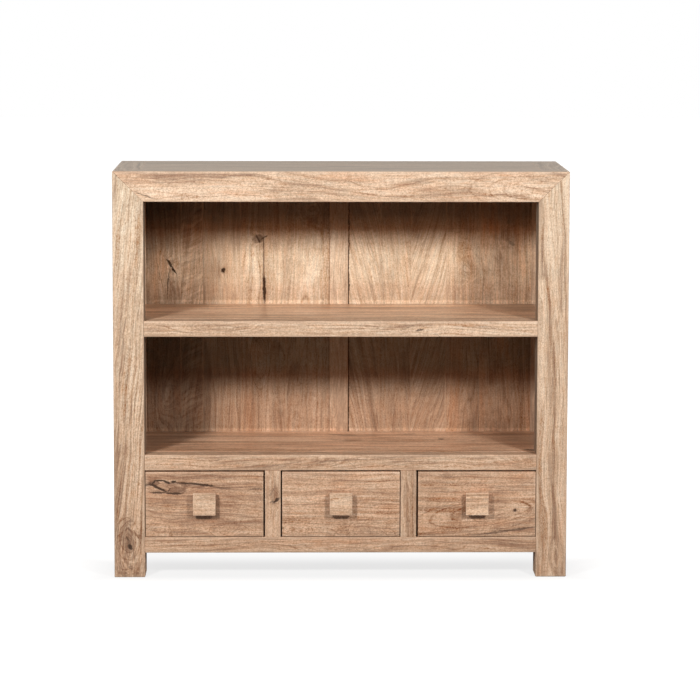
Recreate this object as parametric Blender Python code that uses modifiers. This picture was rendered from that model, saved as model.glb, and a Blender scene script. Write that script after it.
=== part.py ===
# Low bookcase in solid wood: two open bays over a row of three inset drawers.
# Metres, +Z up. The front faces -Y, and the origin is under the middle of the whole piece, knobs included.

from math import radians

import bmesh
import bpy
from mathutils import Matrix, Vector

# Overall size
overall_width = 1.000
carcase_depth = 0.350
overall_height = 0.900

# Gap between pieces that touch, and the distance within which the corners of one mesh are welded
fit = 0.0003
weld_distance = 0.00001

# Posts, top frame and the small rounding of their long edges
post_width = 0.068
front_post_depth = 0.068
rear_post_width = 0.040
rear_post_depth = 0.068
rear_lip_width = 0.016
top_rail_height = 0.067
top_panel_thickness = 0.020
top_rebate_width = 0.010
arris = 0.0012
arris_segments = 2
round_profile = 0.5

# Heights, from the floor up: the upper bay takes what is left under the top frame
foot_clearance = 0.055
bottom_rail_height = 0.035
drawer_opening_height = 0.149
deck_thickness = 0.035
lower_bay_height = 0.262
shelf_thickness = 0.035

# Front rails, dividers and the boards behind them
front_rail_depth = 0.045
divider_width = 0.035
deck_board_thickness = 0.018
shelf_board_thickness = 0.020
board_tongue_length = 0.010
board_tongue_thickness = 0.008

# Tenons
rail_tenon_length = 0.020
rail_tenon_thickness = 0.016
rail_tenon_setback = 0.014
divider_tenon_length = 0.015
muntin_tenon_length = 0.015
shoulder = 0.006
post_tenon_height = 0.025
post_tenon_width = 0.014
post_tenon_depth = 0.024
tenon_root = 0.005

# Hidden tenons behind the mitres of the top frame
mitre_tenon_setback = 0.014
mitre_tenon_thickness = 0.016
mitre_post_tenon_cover = 0.022
mitre_rail_tenon_cover = 0.007
mitre_rail_tenon_height = 0.010

# Sides
side_panel_thickness = 0.016
side_panel_setback = 0.012
side_groove_depth = 0.010
side_tenon_thickness = 0.012

# Back
back_frame_thickness = 0.018
back_panel_thickness = 0.008
back_panel_setback = 0.005
back_groove_depth = 0.008
muntin_width = 0.042
rear_rail_height = 0.060
rear_rail_thickness = 0.024
rear_tenon_thickness = 0.010

# Cleats under the shelf, and at the back of the shelf and the deck
cleat_size = 0.020
rear_cleat_thickness = 0.024

# Runners under the drawers, kickers over them and the stop rail behind them
runner_height = 0.030
runner_rise = 0.001
runner_bearing = 0.016
runner_housing = 0.006
guide_height = 0.015
kicker_play = 0.002
stop_thickness = 0.012
stop_height = 0.015
stop_rear_space = 0.0134

# Drawers: each one's play is taken up to one side by its share of the side gap, to the right if above zero
drawer_names = ("left", "middle", "right")
drawer_play_shares = (-0.45, 0.25, 0.60)
drawer_side_gap = 0.0023
drawer_top_gap = 0.003
drawer_headroom = 0.008
drawer_front_thickness = 0.020
drawer_arris = 0.0008
drawer_side_thickness = 0.012
drawer_back_thickness = 0.012
drawer_back_inset = 0.008
drawer_back_drop = 0.004
drawer_dado_depth = 0.006
drawer_bottom_thickness = 0.006
drawer_bottom_height = 0.010
drawer_bottom_groove = 0.006
drawer_front_groove = 0.008

# Half-blind dovetails that join a drawer's sides to its front
dovetail_lap = 0.006
dovetail_pitch = 0.046
dovetail_tip_width = 0.030
dovetail_slope = 1 / 7

# Knobs
knob_projection = 0.018
knob_size = 0.050
knob_head_thickness = 0.008
knob_arris = 0.0012
knob_neck_size = 0.026
knob_lift = 0.003

# Screws that hold the knobs, driven from inside the drawer fronts
screw_shank_radius = 0.0020
screw_head_radius = 0.0042
screw_crown_radius = 0.0030
screw_head_height = 0.0022
screw_rim_height = 0.0011
screw_tip_length = 0.004
screw_sides = 12
screw_sharp_angle = radians(35)
knob_screw_length = 0.034

# Colours as red, green and blue from 0 to 1, then roughness and metallic
frame_wood = ((0.56, 0.37, 0.235), 0.55, 0.0)
panel_wood = ((0.50, 0.31, 0.19), 0.60, 0.0)
inner_wood = ((0.47, 0.30, 0.18), 0.70, 0.0)
drawer_wood = ((0.60, 0.42, 0.28), 0.65, 0.0)
plywood = ((0.66, 0.50, 0.34), 0.70, 0.0)
knob_wood = ((0.62, 0.43, 0.28), 0.50, 0.0)
steel = ((0.56, 0.56, 0.57), 0.35, 1.0)

# Planes of the carcase, left to right
half_width = overall_width / 2
post_inner = half_width - post_width
rear_post_inner = half_width - rear_post_width
lip_inner = rear_post_inner - rear_lip_width
panel_outer = half_width - side_panel_setback
panel_inner = panel_outer - side_panel_thickness
drawer_count = len(drawer_names)
opening_width = (2 * post_inner - (drawer_count - 1) * divider_width) / drawer_count

# Planes of the carcase, bottom to top
base_top = foot_clearance + bottom_rail_height
deck_low = base_top + drawer_opening_height
deck_top = deck_low + deck_thickness
shelf_low = deck_top + lower_bay_height
shelf_top = shelf_low + shelf_thickness
ceiling = overall_height - top_rail_height
rear_rail_top = foot_clearance + rear_rail_height
deck_board_low = deck_top - deck_board_thickness
shelf_board_low = shelf_top - shelf_board_thickness

# Depths, measured from the front face of the carcase
rear_post_front = carcase_depth - rear_post_depth
back_frame_front = carcase_depth - back_frame_thickness
back_panel_rear = carcase_depth - back_panel_setback
back_panel_front = back_panel_rear - back_panel_thickness
rear_rail_front = carcase_depth - rear_rail_thickness
rear_cleat_front = back_frame_front - fit - rear_cleat_thickness

# Drawer box: it runs back to the stop rail
drawer_width = opening_width - 2 * drawer_side_gap
drawer_box_depth = rear_rail_front - stop_rear_space - stop_thickness - 2 * fit
runner_top = base_top + runner_rise
drawer_low = runner_top + fit
drawer_side_top = deck_low - drawer_headroom
drawer_front_top = deck_low - drawer_top_gap
kicker_low = drawer_side_top + kicker_play
kicker_top = deck_board_low - fit
front_face = (knob_projection - carcase_depth) / 2


class Block:
    # An upright box between two corners; its depth counts from the carcase's front face
    def __init__(self, x, depth, z):
        self.low = Vector((min(x), front_face + min(depth), min(z)))
        self.high = Vector((max(x), front_face + max(depth), max(z)))

    def grown(self):
        bigger = Block((0, 0), (0, 0), (0, 0))
        bigger.low = self.low - Vector((fit, fit, fit))
        bigger.high = self.high + Vector((fit, fit, fit))
        return bigger


def on_side(side, inner, outer):
    return (side * inner, side * outer)


def clear_scene():
    for item in list(bpy.data.objects):
        bpy.data.objects.remove(item)


def new_collection(name):
    made = bpy.data.collections.new(name)
    bpy.context.scene.collection.children.link(made)
    return made


def new_material(name, finish):
    colour, roughness, metallic = finish
    made = bpy.data.materials.new(name)
    made.use_nodes = True
    shader = made.node_tree.nodes["Principled BSDF"]
    shader.inputs["Base Color"].default_value = (*colour, 1.0)
    shader.inputs["Roughness"].default_value = roughness
    shader.inputs["Metallic"].default_value = metallic
    made.diffuse_color = (*colour, 1.0)
    return made


def place(mesh, name, location, collection, parent=None):
    item = bpy.data.objects.new(name, mesh)
    collection.objects.link(item)
    if parent:
        item.parent = parent
        item.location = location - parent.location
    else:
        item.location = location
    return item


def box_mesh(name, size, eased="", radius=arris):
    # eased lists edges by the two faces that they join, such as "x-y-" for the upright at low x and low y
    shape = bmesh.new()
    bmesh.ops.create_cube(shape, size=1.0)
    bmesh.ops.scale(shape, vec=size, verts=shape.verts)
    edges = []
    for pair in eased.split():
        faces = [("xyz".index(pair[i]), -1 if pair[i + 1] == "-" else 1) for i in (0, 2)]
        edges += [
            edge for edge in shape.edges
            if all(vert.co[axis] * sign > 0 for axis, sign in faces for vert in edge.verts)
        ]
    if edges:
        bmesh.ops.bevel(
            shape, geom=edges, offset=radius, segments=arris_segments, profile=round_profile,
            affect="EDGES", clamp_overlap=True,
        )
    mesh = bpy.data.meshes.new(name)
    shape.to_mesh(mesh)
    shape.free()
    return mesh


def board(name, block, finish, eased="", parent=None, radius=arris):
    centre = (block.low + block.high) / 2
    mesh = box_mesh(name, block.high - block.low, eased, radius)
    mesh.materials.append(new_material(name, finish))
    return place(mesh, name, centre, parts, parent)


def hide_tool(tool):
    tool.hide_render = True
    tool.display_type = "WIRE"


def combine(target, tool, operation):
    hide_tool(tool)
    modifier = target.modifiers.new(tool.name, "BOOLEAN")
    modifier.operation = operation
    modifier.solver = "EXACT"
    modifier.object = tool


def block_tool(name, block, parent=None):
    centre = (block.low + block.high) / 2
    return place(box_mesh(name, block.high - block.low), name, centre, cutters, parent)


def cut(target, *blocks):
    for block in blocks:
        combine(target, block_tool(target.name + "_cut", block, target.parent), "DIFFERENCE")


def house(target, *guests):
    # Makes room in target for each guest block, with the gap all round
    cut(target, *[guest.grown() for guest in guests])


def add(target, *blocks):
    for block in blocks:
        combine(target, block_tool(target.name + "_add", block, target.parent), "UNION")


def rod_mesh(name, radius, length, sides):
    shape = bmesh.new()
    bmesh.ops.create_cone(
        shape, cap_ends=True, segments=sides, radius1=radius, radius2=radius, depth=length,
    )
    mesh = bpy.data.meshes.new(name)
    shape.to_mesh(mesh)
    shape.free()
    return mesh


def turn_to(direction):
    return Vector((0, 0, 1)).rotation_difference(direction)


def drill(target, start, end, radius, sides):
    # A round hole from start to end; sides matches the rod that goes in, so their flats are parallel
    path = end - start
    mesh = rod_mesh(target.name + "_drill", radius, path.length, sides)
    tool = place(mesh, target.name + "_drill", (start + end) / 2, cutters, target.parent)
    tool.rotation_mode = "QUATERNION"
    tool.rotation_quaternion = turn_to(path)
    combine(target, tool, "DIFFERENCE")


def saw(item, point, normal):
    # Removes what lies on the normal's side of a plane through point, and closes the sawn face
    shape = bmesh.new()
    shape.from_mesh(item.data)
    bmesh.ops.bisect_plane(
        shape, geom=shape.verts[:] + shape.edges[:] + shape.faces[:],
        plane_co=point - item.location, plane_no=normal, clear_outer=True,
    )
    rim = [edge for edge in shape.edges if edge.is_boundary]
    bmesh.ops.edgeloop_fill(shape, edges=rim)
    bmesh.ops.recalc_face_normals(shape, faces=shape.faces)
    shape.to_mesh(item.data)
    shape.free()


def mitre(item, outer, inner, edge):
    # Saws item along the plane that holds the outer corner, the inner corner and the edge direction
    normal = edge.cross(inner - outer).normalized()
    if (item.location - outer).dot(normal) > 0:
        normal.negate()
    saw(item, outer - normal * fit / 2, normal)


along_x = Vector((1, 0, 0))
along_y = Vector((0, 1, 0))
along_z = Vector((0, 0, 1))


def front_corner(side):
    outer = Vector((side * half_width, front_face, overall_height))
    return outer, outer + Vector((-side * post_width, front_post_depth, -top_rail_height))


def rear_corner(side):
    outer = Vector((side * half_width, front_face + carcase_depth, overall_height))
    return outer, outer + Vector((-side * post_width, -rear_post_depth, -top_rail_height))


def corner_block(side, front, across, along, down):
    # A block in a corner of the top frame: across, along and down count in from the corner's outer faces
    depths = along if front else [carcase_depth - reach for reach in along]
    return Block(
        [side * (half_width - reach) for reach in across], depths,
        [overall_height - reach for reach in down],
    )


def behind_rebate(section):
    # A tenon's span in a member of this section, close in front of the rebate for the top panel
    end = section - top_rebate_width - shoulder
    return (end - mitre_tenon_thickness, end)


def behind_face():
    return (mitre_tenon_setback, mitre_tenon_setback + mitre_tenon_thickness)


def post_mitre_tenons(side):
    # They stand on the front post: the first goes up into the front rail, the second into the side rail
    down = (mitre_post_tenon_cover, top_rail_height + tenon_root)
    return (
        corner_block(side, True, behind_rebate(post_width), behind_face(), down),
        corner_block(side, True, behind_face(), behind_rebate(front_post_depth), down),
    )


def rail_mitre_tenon(side, front):
    # It goes from the side rail's end into the front or the rear rail
    depth = front_post_depth if front else rear_post_depth
    return corner_block(
        side, front, behind_rebate(post_width), (mitre_tenon_setback, depth + tenon_root),
        (mitre_rail_tenon_cover, mitre_rail_tenon_cover + mitre_rail_tenon_height),
    )


def screw_mesh(length):
    # A pan-headed screw on the Z axis: the head's underside is at zero and the point at -length
    profile = [
        (0, screw_head_height),
        (screw_crown_radius, screw_head_height),
        (screw_head_radius, screw_rim_height),
        (screw_head_radius, 0),
        (screw_shank_radius, 0),
        (screw_shank_radius, -length + screw_tip_length),
        (0, -length),
    ]
    mesh = bpy.data.meshes.new("screw_profile")
    points = [(radius, 0, height) for radius, height in profile]
    mesh.from_pydata(points, [(i, i + 1) for i in range(len(points) - 1)], [])
    turned = place(mesh, "screw_profile", Vector(), cutters)
    modifier = turned.modifiers.new("turn", "SCREW")
    modifier.steps = screw_sides
    modifier.render_steps = screw_sides
    modifier.use_merge_vertices = True
    modifier.merge_threshold = weld_distance
    bpy.context.view_layer.update()
    solid = bpy.data.meshes.new_from_object(turned.evaluated_get(bpy.context.evaluated_depsgraph_get()))
    bpy.data.objects.remove(turned)
    solid.shade_smooth()
    solid.set_sharp_from_angle(angle=screw_sharp_angle)
    return solid


def screw_hole(target, seat, direction, length):
    start = seat - direction * 2 * screw_head_height
    end = seat + direction * (length + fit)
    drill(target, start, end, screw_shank_radius + fit, screw_sides)


def outline_mesh(name, outline, thickness):
    # A flat outline of (depth, height) points, in the plane square to X, thickened evenly both ways
    curve = bpy.data.curves.new(name, "CURVE")
    curve.dimensions = "2D"
    curve.fill_mode = "BOTH"
    curve.extrude = thickness / 2
    spline = curve.splines.new("POLY")
    spline.points.add(len(outline) - 1)
    for point, (depth, height) in zip(spline.points, outline):
        point.co = (depth, height, 0, 1)
    spline.use_cyclic_u = True
    drawn = bpy.data.objects.new(name, curve)
    cutters.objects.link(drawn)
    bpy.context.view_layer.update()
    mesh = bpy.data.meshes.new_from_object(drawn.evaluated_get(bpy.context.evaluated_depsgraph_get()))
    bpy.data.objects.remove(drawn)
    upright = Matrix(((0, 0, 1, 0), (1, 0, 0, 0), (0, 1, 0, 0), (0, 0, 0, 1)))
    shape = bmesh.new()
    shape.from_mesh(mesh)
    bmesh.ops.remove_doubles(shape, verts=shape.verts, dist=weld_distance)
    bmesh.ops.transform(shape, matrix=upright, verts=shape.verts)
    bmesh.ops.recalc_face_normals(shape, faces=shape.faces)
    shape.to_mesh(mesh)
    shape.free()
    return mesh


clear_scene()
parts = new_collection("low_bookcase")
cutters = new_collection("cutters")
sides = ((-1, "left"), (1, "right"))
items = {}


def keep(item):
    items[item.name] = item
    return item


# Blocks that more than one piece needs: what is housed, and what it is housed in

def front_post_block(side):
    return Block(on_side(side, post_inner, half_width), (0, front_post_depth), (0, overall_height))


def rear_post_block(side):
    return Block(
        on_side(side, rear_post_inner, half_width), (rear_post_front, carcase_depth),
        (0, ceiling - fit),
    )


def side_panel_block(side):
    return Block(
        on_side(side, panel_inner, panel_outer),
        (front_post_depth - side_groove_depth, rear_post_front + side_groove_depth),
        (base_top - side_groove_depth, ceiling + side_groove_depth),
    )


def back_panel_block(side):
    return Block(
        on_side(side, muntin_width / 2 - back_groove_depth, lip_inner + back_groove_depth),
        (back_panel_front, back_panel_rear),
        (rear_rail_top - back_groove_depth, ceiling + back_groove_depth),
    )


top_panel_block = Block(
    (-post_inner - top_rebate_width, post_inner + top_rebate_width),
    (front_post_depth - top_rebate_width, rear_post_front + top_rebate_width),
    (overall_height - top_panel_thickness, overall_height),
)


def front_rail_tenon(side, low, high):
    # A rail's tenon in the front post, with its root inside the rail
    return Block(
        on_side(side, post_inner - fit - tenon_root, post_inner + rail_tenon_length),
        (rail_tenon_setback, rail_tenon_setback + rail_tenon_thickness),
        (low + shoulder, high - shoulder),
    )


def side_rail_tenon(side, depth):
    # A bottom side rail's tenon, kept below the groove of the side panel
    middle = half_width - rear_post_width / 2
    return Block(
        on_side(side, middle - side_tenon_thickness / 2, middle + side_tenon_thickness / 2),
        depth, (foot_clearance + shoulder, base_top - side_groove_depth - shoulder / 2),
    )


def rear_rail_tenon(side):
    middle = (back_frame_front + carcase_depth) / 2
    return Block(
        on_side(side, lip_inner - fit - tenon_root, lip_inner + rail_tenon_length),
        (middle - rear_tenon_thickness / 2, middle + rear_tenon_thickness / 2),
        (foot_clearance + shoulder, rear_rail_top - back_groove_depth - shoulder),
    )


def rear_post_tenon(side):
    # It stands in the side rail, clear of the side panel's groove and of the mitre with the rear rail
    start = rear_post_front + side_groove_depth + shoulder
    return Block(
        on_side(side, half_width - shoulder - fit - post_tenon_width, half_width - shoulder - fit),
        (start, start + post_tenon_depth),
        (ceiling - fit - tenon_root, ceiling + post_tenon_height),
    )


front_depths = (front_post_depth - rail_tenon_length, front_post_depth + fit + tenon_root)
rear_depths = (rear_post_front - fit - tenon_root, rear_post_front + rail_tenon_length)
rail_levels = (
    ("bottom_front_rail", foot_clearance, base_top),
    ("deck_front_rail", deck_low, deck_top),
    ("shelf_front_rail", shelf_low, shelf_top),
)
post_edges = "x-y- x+y- x-y+ x+y+"


def make_front_posts():
    for side, name in sides:
        post = keep(board("front_post_" + name, front_post_block(side), frame_wood, post_edges))
        outer, inner = front_corner(side)
        mitre(post, outer, inner, along_y)
        mitre(post, outer, inner, along_x)
        add(post, *post_mitre_tenons(side))
        house(post, side_panel_block(side), side_rail_tenon(side, front_depths))
        house(post, *[front_rail_tenon(side, low, high) for _, low, high in rail_levels])


def make_rear_posts():
    # The post is planed from wider stock, so that a lip is left at the back to hold the back panel
    for side, name in sides:
        stock = rear_post_block(side)
        inner = on_side(side, lip_inner, half_width)
        stock.low.x = min(inner)
        stock.high.x = max(inner)
        post = keep(board("rear_post_" + name, stock, frame_wood, post_edges))
        rebate_end = lip_inner - rear_lip_width
        cut(post, Block(
            on_side(side, rebate_end, rear_post_inner),
            (rear_post_front - rear_lip_width, back_frame_front), (-foot_clearance, overall_height),
        ))
        add(post, rear_post_tenon(side))
        house(post, side_panel_block(side), back_panel_block(side))
        house(post, side_rail_tenon(side, rear_depths), rear_rail_tenon(side))


def make_top_frame():
    across = (-half_width, half_width)
    heights = (ceiling, overall_height)
    front_rail = keep(board(
        "top_front_rail", Block(across, (0, front_post_depth), heights), frame_wood, "y-z+ y-z-",
    ))
    rear_rail = keep(board(
        "top_rear_rail", Block(across, (rear_post_front, carcase_depth), heights), frame_wood,
        "y+z+ y+z-",
    ))
    for side, name in sides:
        outer_edges = "x-z+ x-z-" if side < 0 else "x+z+ x+z-"
        side_rail = keep(board(
            "top_side_rail_" + name,
            Block(on_side(side, post_inner, half_width), (0, carcase_depth), heights),
            frame_wood, outer_edges,
        ))
        outer, inner = front_corner(side)
        mitre(front_rail, outer, inner, along_y)
        mitre(front_rail, outer, inner, along_z)
        mitre(side_rail, outer, inner, along_x)
        mitre(side_rail, outer, inner, along_z)
        outer, inner = rear_corner(side)
        mitre(rear_rail, outer, inner, along_z)
        mitre(side_rail, outer, inner, along_z)
        add(side_rail, rail_mitre_tenon(side, True), rail_mitre_tenon(side, False))
        house(side_rail, top_panel_block, side_panel_block(side), rear_post_tenon(side))
        house(side_rail, *post_mitre_tenons(side))
        house(front_rail, *post_mitre_tenons(side), rail_mitre_tenon(side, True))
        house(rear_rail, back_panel_block(side), rail_mitre_tenon(side, False))
    house(front_rail, top_panel_block)
    house(rear_rail, top_panel_block, muntin_tenon(ceiling))
    keep(board("top_panel", top_panel_block, panel_wood))


def make_sides():
    for side, name in sides:
        keep(board("side_panel_" + name, side_panel_block(side), panel_wood))
        outer_edges = "x-z+ x-z-" if side < 0 else "x+z+ x+z-"
        rail = keep(board(
            "side_bottom_rail_" + name,
            Block(
                on_side(side, rear_post_inner, half_width),
                (front_post_depth + fit, rear_post_front - fit), (foot_clearance, base_top),
            ),
            frame_wood, outer_edges,
        ))
        add(rail, side_rail_tenon(side, front_depths), side_rail_tenon(side, rear_depths))
        house(rail, side_panel_block(side))


def muntin_tenon(level):
    # The tenon at a rail's edge: it reaches up into the top rail, and down into the bottom one
    sign = 1 if level == ceiling else -1
    half = muntin_width / 2 - back_groove_depth - shoulder
    middle = (back_frame_front + carcase_depth) / 2
    return Block(
        (-half, half),
        (middle - rear_tenon_thickness / 2, middle + rear_tenon_thickness / 2),
        (level - sign * (fit + tenon_root), level + sign * muntin_tenon_length),
    )


def make_back():
    for side, name in sides:
        keep(board("back_panel_" + name, back_panel_block(side), panel_wood))
    muntin = keep(board(
        "back_muntin",
        Block(
            (-muntin_width / 2, muntin_width / 2), (back_frame_front, carcase_depth),
            (rear_rail_top + fit, ceiling - fit),
        ),
        panel_wood, post_edges,
    ))
    rail = keep(board(
        "rear_bottom_rail",
        Block(
            (fit - lip_inner, lip_inner - fit), (rear_rail_front, carcase_depth),
            (foot_clearance, rear_rail_top),
        ),
        frame_wood, "y+z- y+z+",
    ))
    add(muntin, muntin_tenon(ceiling), muntin_tenon(rear_rail_top))
    house(rail, muntin_tenon(rear_rail_top))
    for side, name in sides:
        house(muntin, back_panel_block(side))
        house(rail, back_panel_block(side))
        add(rail, rear_rail_tenon(side))


# Drawer row

def divider_middles():
    pitch = opening_width + divider_width
    return [-post_inner + pitch * (i + 1) - divider_width / 2 for i in range(drawer_count - 1)]


def divider_block(middle):
    return Block(
        (middle - divider_width / 2, middle + divider_width / 2), (0, front_rail_depth),
        (base_top + fit, deck_low - fit),
    )


def divider_tenon(middle, level):
    sign = 1 if level == deck_low else -1
    return Block(
        (middle - divider_width / 2 + shoulder, middle + divider_width / 2 - shoulder),
        (rail_tenon_setback, rail_tenon_setback + rail_tenon_thickness),
        (level - sign * (fit + tenon_root), level + sign * divider_tenon_length),
    )


def runner_spans():
    # Left and right edge of each runner, and of the guide that stands on it
    spans = [("left_end", -rear_post_inner + fit, -post_inner + runner_bearing)]
    names = ("left_divider", "right_divider")
    reach = divider_width / 2 + runner_bearing
    for name, middle in zip(names, divider_middles()):
        spans.append((name, middle - reach, middle + reach))
    spans.append(("right_end", post_inner - runner_bearing, rear_post_inner - fit))
    return spans


def runner_block(low, high):
    return Block(
        (low, high), (front_rail_depth - runner_housing, back_frame_front - fit),
        (runner_top - runner_height, runner_top),
    )


def drawer_middles():
    pitch = opening_width + divider_width
    return [-post_inner + opening_width / 2 + pitch * i for i in range(drawer_count)]


def make_front_rails():
    across = (fit - post_inner, post_inner - fit)
    for name, low, high in rail_levels:
        rail = keep(board(
            name, Block(across, (0, front_rail_depth), (low, high)), frame_wood, "y-z+ y-z-",
        ))
        add(rail, *[front_rail_tenon(side, low, high) for side, _ in sides])
    for middle, name in zip(divider_middles(), ("left", "right")):
        divider = keep(board(
            "drawer_divider_" + name, divider_block(middle), frame_wood, "x-y- x+y-",
        ))
        add(divider, divider_tenon(middle, deck_low), divider_tenon(middle, base_top))
        house(items["deck_front_rail"], divider_tenon(middle, deck_low))
        house(items["bottom_front_rail"], divider_tenon(middle, base_top))


def make_runners():
    for name, low, high in runner_spans():
        runner = keep(board("drawer_runner_" + name, runner_block(low, high), inner_wood))
        house(items["bottom_front_rail"], runner_block(low, high))
        house(items["rear_bottom_rail"], runner_block(low, high))
        guide_low, guide_high = low + runner_bearing, high - runner_bearing
        guide_front = front_rail_depth
        if name == "left_end":
            guide_low = low
        if name == "right_end":
            guide_high = high
        if name.endswith("end"):
            guide_front = front_post_depth
            house(runner, front_post_block(-1 if name == "left_end" else 1))
        add(runner, Block(
            (guide_low, guide_high), (guide_front + fit, drawer_box_depth),
            (runner_top - tenon_root, runner_top + guide_height),
        ))
        for middle in divider_middles():
            if low < middle < high:
                house(runner, divider_block(middle))
    stop_low = runner_top + fit
    keep(board(
        "drawer_stop_rail",
        Block(
            (fit - rear_post_inner, rear_post_inner - fit),
            (drawer_box_depth + fit, drawer_box_depth + fit + stop_thickness),
            (stop_low, stop_low + stop_height),
        ),
        inner_wood,
    ))


def make_kickers():
    for name, low, high in runner_spans():
        if name == "left_end":
            low = -panel_inner + fit
        if name == "right_end":
            high = panel_inner - fit
        kicker = keep(board(
            "drawer_kicker_" + name,
            Block(
                (low, high), (front_rail_depth + fit, rear_cleat_front - fit),
                (kicker_low, kicker_top),
            ),
            inner_wood,
        ))
        if name.endswith("end"):
            side = -1 if name == "left_end" else 1
            house(kicker, front_post_block(side), rear_post_block(side))


def make_shelf_and_deck():
    levels = (
        ("shelf", shelf_board_low, shelf_top, shelf_board_low - fit - cleat_size),
        ("deck", deck_board_low, deck_top, kicker_low),
    )
    for name, low, high, cleat_low in levels:
        plank = keep(board(
            name + "_board",
            Block(
                (fit - panel_inner, panel_inner - fit),
                (front_rail_depth + fit, back_frame_front - fit), (low, high),
            ),
            panel_wood,
        ))
        middle = (low + high) / 2
        tongue = Block(
            (board_tongue_length - post_inner, post_inner - board_tongue_length),
            (front_rail_depth - board_tongue_length, front_rail_depth + fit + tenon_root),
            (middle - board_tongue_thickness / 2, middle + board_tongue_thickness / 2),
        )
        add(plank, tongue)
        house(items[name + "_front_rail"], tongue)
        for side, _ in sides:
            house(plank, front_post_block(side), rear_post_block(side))
        keep(board(
            name + "_rear_cleat",
            Block(
                (fit - rear_post_inner, rear_post_inner - fit),
                (rear_cleat_front, rear_cleat_front + rear_cleat_thickness),
                (cleat_low, low - fit),
            ),
            inner_wood,
        ))
    for side, name in sides:
        keep(board(
            "shelf_side_cleat_" + name,
            Block(
                on_side(side, panel_inner - fit - cleat_size, panel_inner - fit),
                (front_post_depth + fit, rear_post_front - fit),
                (shelf_board_low - fit - cleat_size, shelf_board_low - fit),
            ),
            inner_wood,
        ))


# Drawers, each one on its own slide

def tail_heights():
    # Middle of each dovetail, above the bottom of the drawer side
    height = drawer_side_top - drawer_low
    count = max(2, int(height // dovetail_pitch))
    return [height * (i + 0.5) / count for i in range(count)]


def side_outline():
    # The drawer side seen from its end of the row: a board with tails at its front end
    height = drawer_side_top - drawer_low
    root = drawer_front_thickness + fit
    tip = dovetail_lap + fit
    tip_half = dovetail_tip_width / 2
    root_half = tip_half - (root - tip) * dovetail_slope
    points = [(drawer_box_depth, 0), (drawer_box_depth, height), (root, height)]
    for middle in reversed(tail_heights()):
        points += [
            (root, middle + root_half), (tip, middle + tip_half),
            (tip, middle - tip_half), (root, middle - root_half),
        ]
    points.append((root, 0))
    return points


def socket_outline(middle):
    tip = dovetail_lap
    root = drawer_front_thickness + tenon_root
    tip_half = dovetail_tip_width / 2 + fit
    root_half = tip_half - (root - tip) * dovetail_slope
    return [
        (root, middle + root_half), (tip, middle + tip_half),
        (tip, middle - tip_half), (root, middle - root_half),
    ]


def make_drawer(name, middle):
    slide = bpy.data.objects.new("drawer_" + name + "_slide", None)
    slide.location = (middle, front_face, drawer_low)
    slide.empty_display_size = knob_size
    parts.objects.link(slide)
    prefix = "drawer_" + name + "_"
    half = drawer_width / 2
    inner = half - drawer_side_thickness
    side_height = drawer_side_top - drawer_low

    front = board(
        prefix + "front",
        Block((middle - half, middle + half), (0, drawer_front_thickness), (drawer_low, drawer_front_top)),
        frame_wood, "x-y- x+y- y-z+ y-z-", slide, drawer_arris,
    )
    bottom_low = drawer_low + drawer_bottom_height
    bottom_high = bottom_low + drawer_bottom_thickness
    back_rear = drawer_box_depth - drawer_back_inset
    bottom_half = inner + drawer_bottom_groove
    bottom_block = Block(
        (middle - bottom_half, middle + bottom_half),
        (drawer_front_thickness - drawer_front_groove, back_rear), (bottom_low, bottom_high),
    )
    back_half = inner + drawer_dado_depth
    back_block = Block(
        (middle - back_half, middle + back_half), (back_rear - drawer_back_thickness, back_rear),
        (bottom_high + fit, drawer_low + side_height - drawer_back_drop),
    )
    board(prefix + "bottom", bottom_block, plywood, "", slide)
    board(prefix + "back", back_block, drawer_wood, "", slide)
    house(front, bottom_block)

    for side, side_name in sides:
        mesh = outline_mesh(prefix + "side_" + side_name, side_outline(), drawer_side_thickness)
        mesh.materials.append(new_material(mesh.name, drawer_wood))
        x = middle + side * (inner + drawer_side_thickness / 2)
        flank = place(mesh, mesh.name, Vector((x, front_face, drawer_low)), parts, slide)
        house(flank, bottom_block, back_block)
        for height in tail_heights():
            reach = drawer_side_thickness + fit
            tool_mesh = outline_mesh(prefix + "socket", socket_outline(height), reach * 2)
            tool_x = middle + side * half
            at = Vector((tool_x, front_face, drawer_low))
            combine(front, place(tool_mesh, prefix + "socket", at, cutters, slide), "DIFFERENCE")

    knob_height = (drawer_low + drawer_front_top) / 2 + knob_lift
    knob_half = knob_size / 2
    all_edges = "x-y- x+y- x-y+ x+y+ y-z- y+z- y-z+ y+z+ x-z- x+z- x-z+ x+z+"
    knob = board(
        prefix + "knob",
        Block(
            (middle - knob_half, middle + knob_half),
            (-knob_projection, knob_head_thickness - knob_projection),
            (knob_height - knob_half, knob_height + knob_half),
        ),
        knob_wood, all_edges, slide, knob_arris,
    )
    neck_half = knob_neck_size / 2
    add(knob, Block(
        (middle - neck_half, middle + neck_half), (knob_head_thickness / 2 - knob_projection, -fit),
        (knob_height - neck_half, knob_height + neck_half),
    ))

    seat = Vector((middle, front_face + drawer_front_thickness, knob_height))
    inward = -along_y
    for target in (front, knob):
        screw_hole(target, seat, inward, knob_screw_length)
    screw = screw_mesh(knob_screw_length)
    screw.materials.append(new_material(prefix + "knob_screw", steel))
    fastener = place(screw, prefix + "knob_screw", seat - inward * fit, parts, slide)
    fastener.rotation_mode = "QUATERNION"
    fastener.rotation_quaternion = turn_to(-inward)


make_front_posts()
make_rear_posts()
make_top_frame()
make_sides()
make_back()
make_front_rails()
make_runners()
make_kickers()
make_shelf_and_deck()
for drawer_name, drawer_middle, share in zip(drawer_names, drawer_middles(), drawer_play_shares):
    make_drawer(drawer_name, drawer_middle + drawer_side_gap * share)
bpy.context.view_layer.update()
print("low bookcase:", len([item for item in parts.objects if item.type == "MESH"]), "pieces")
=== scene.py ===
import math

import bmesh
import bpy
from mathutils import Matrix, Vector


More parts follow.
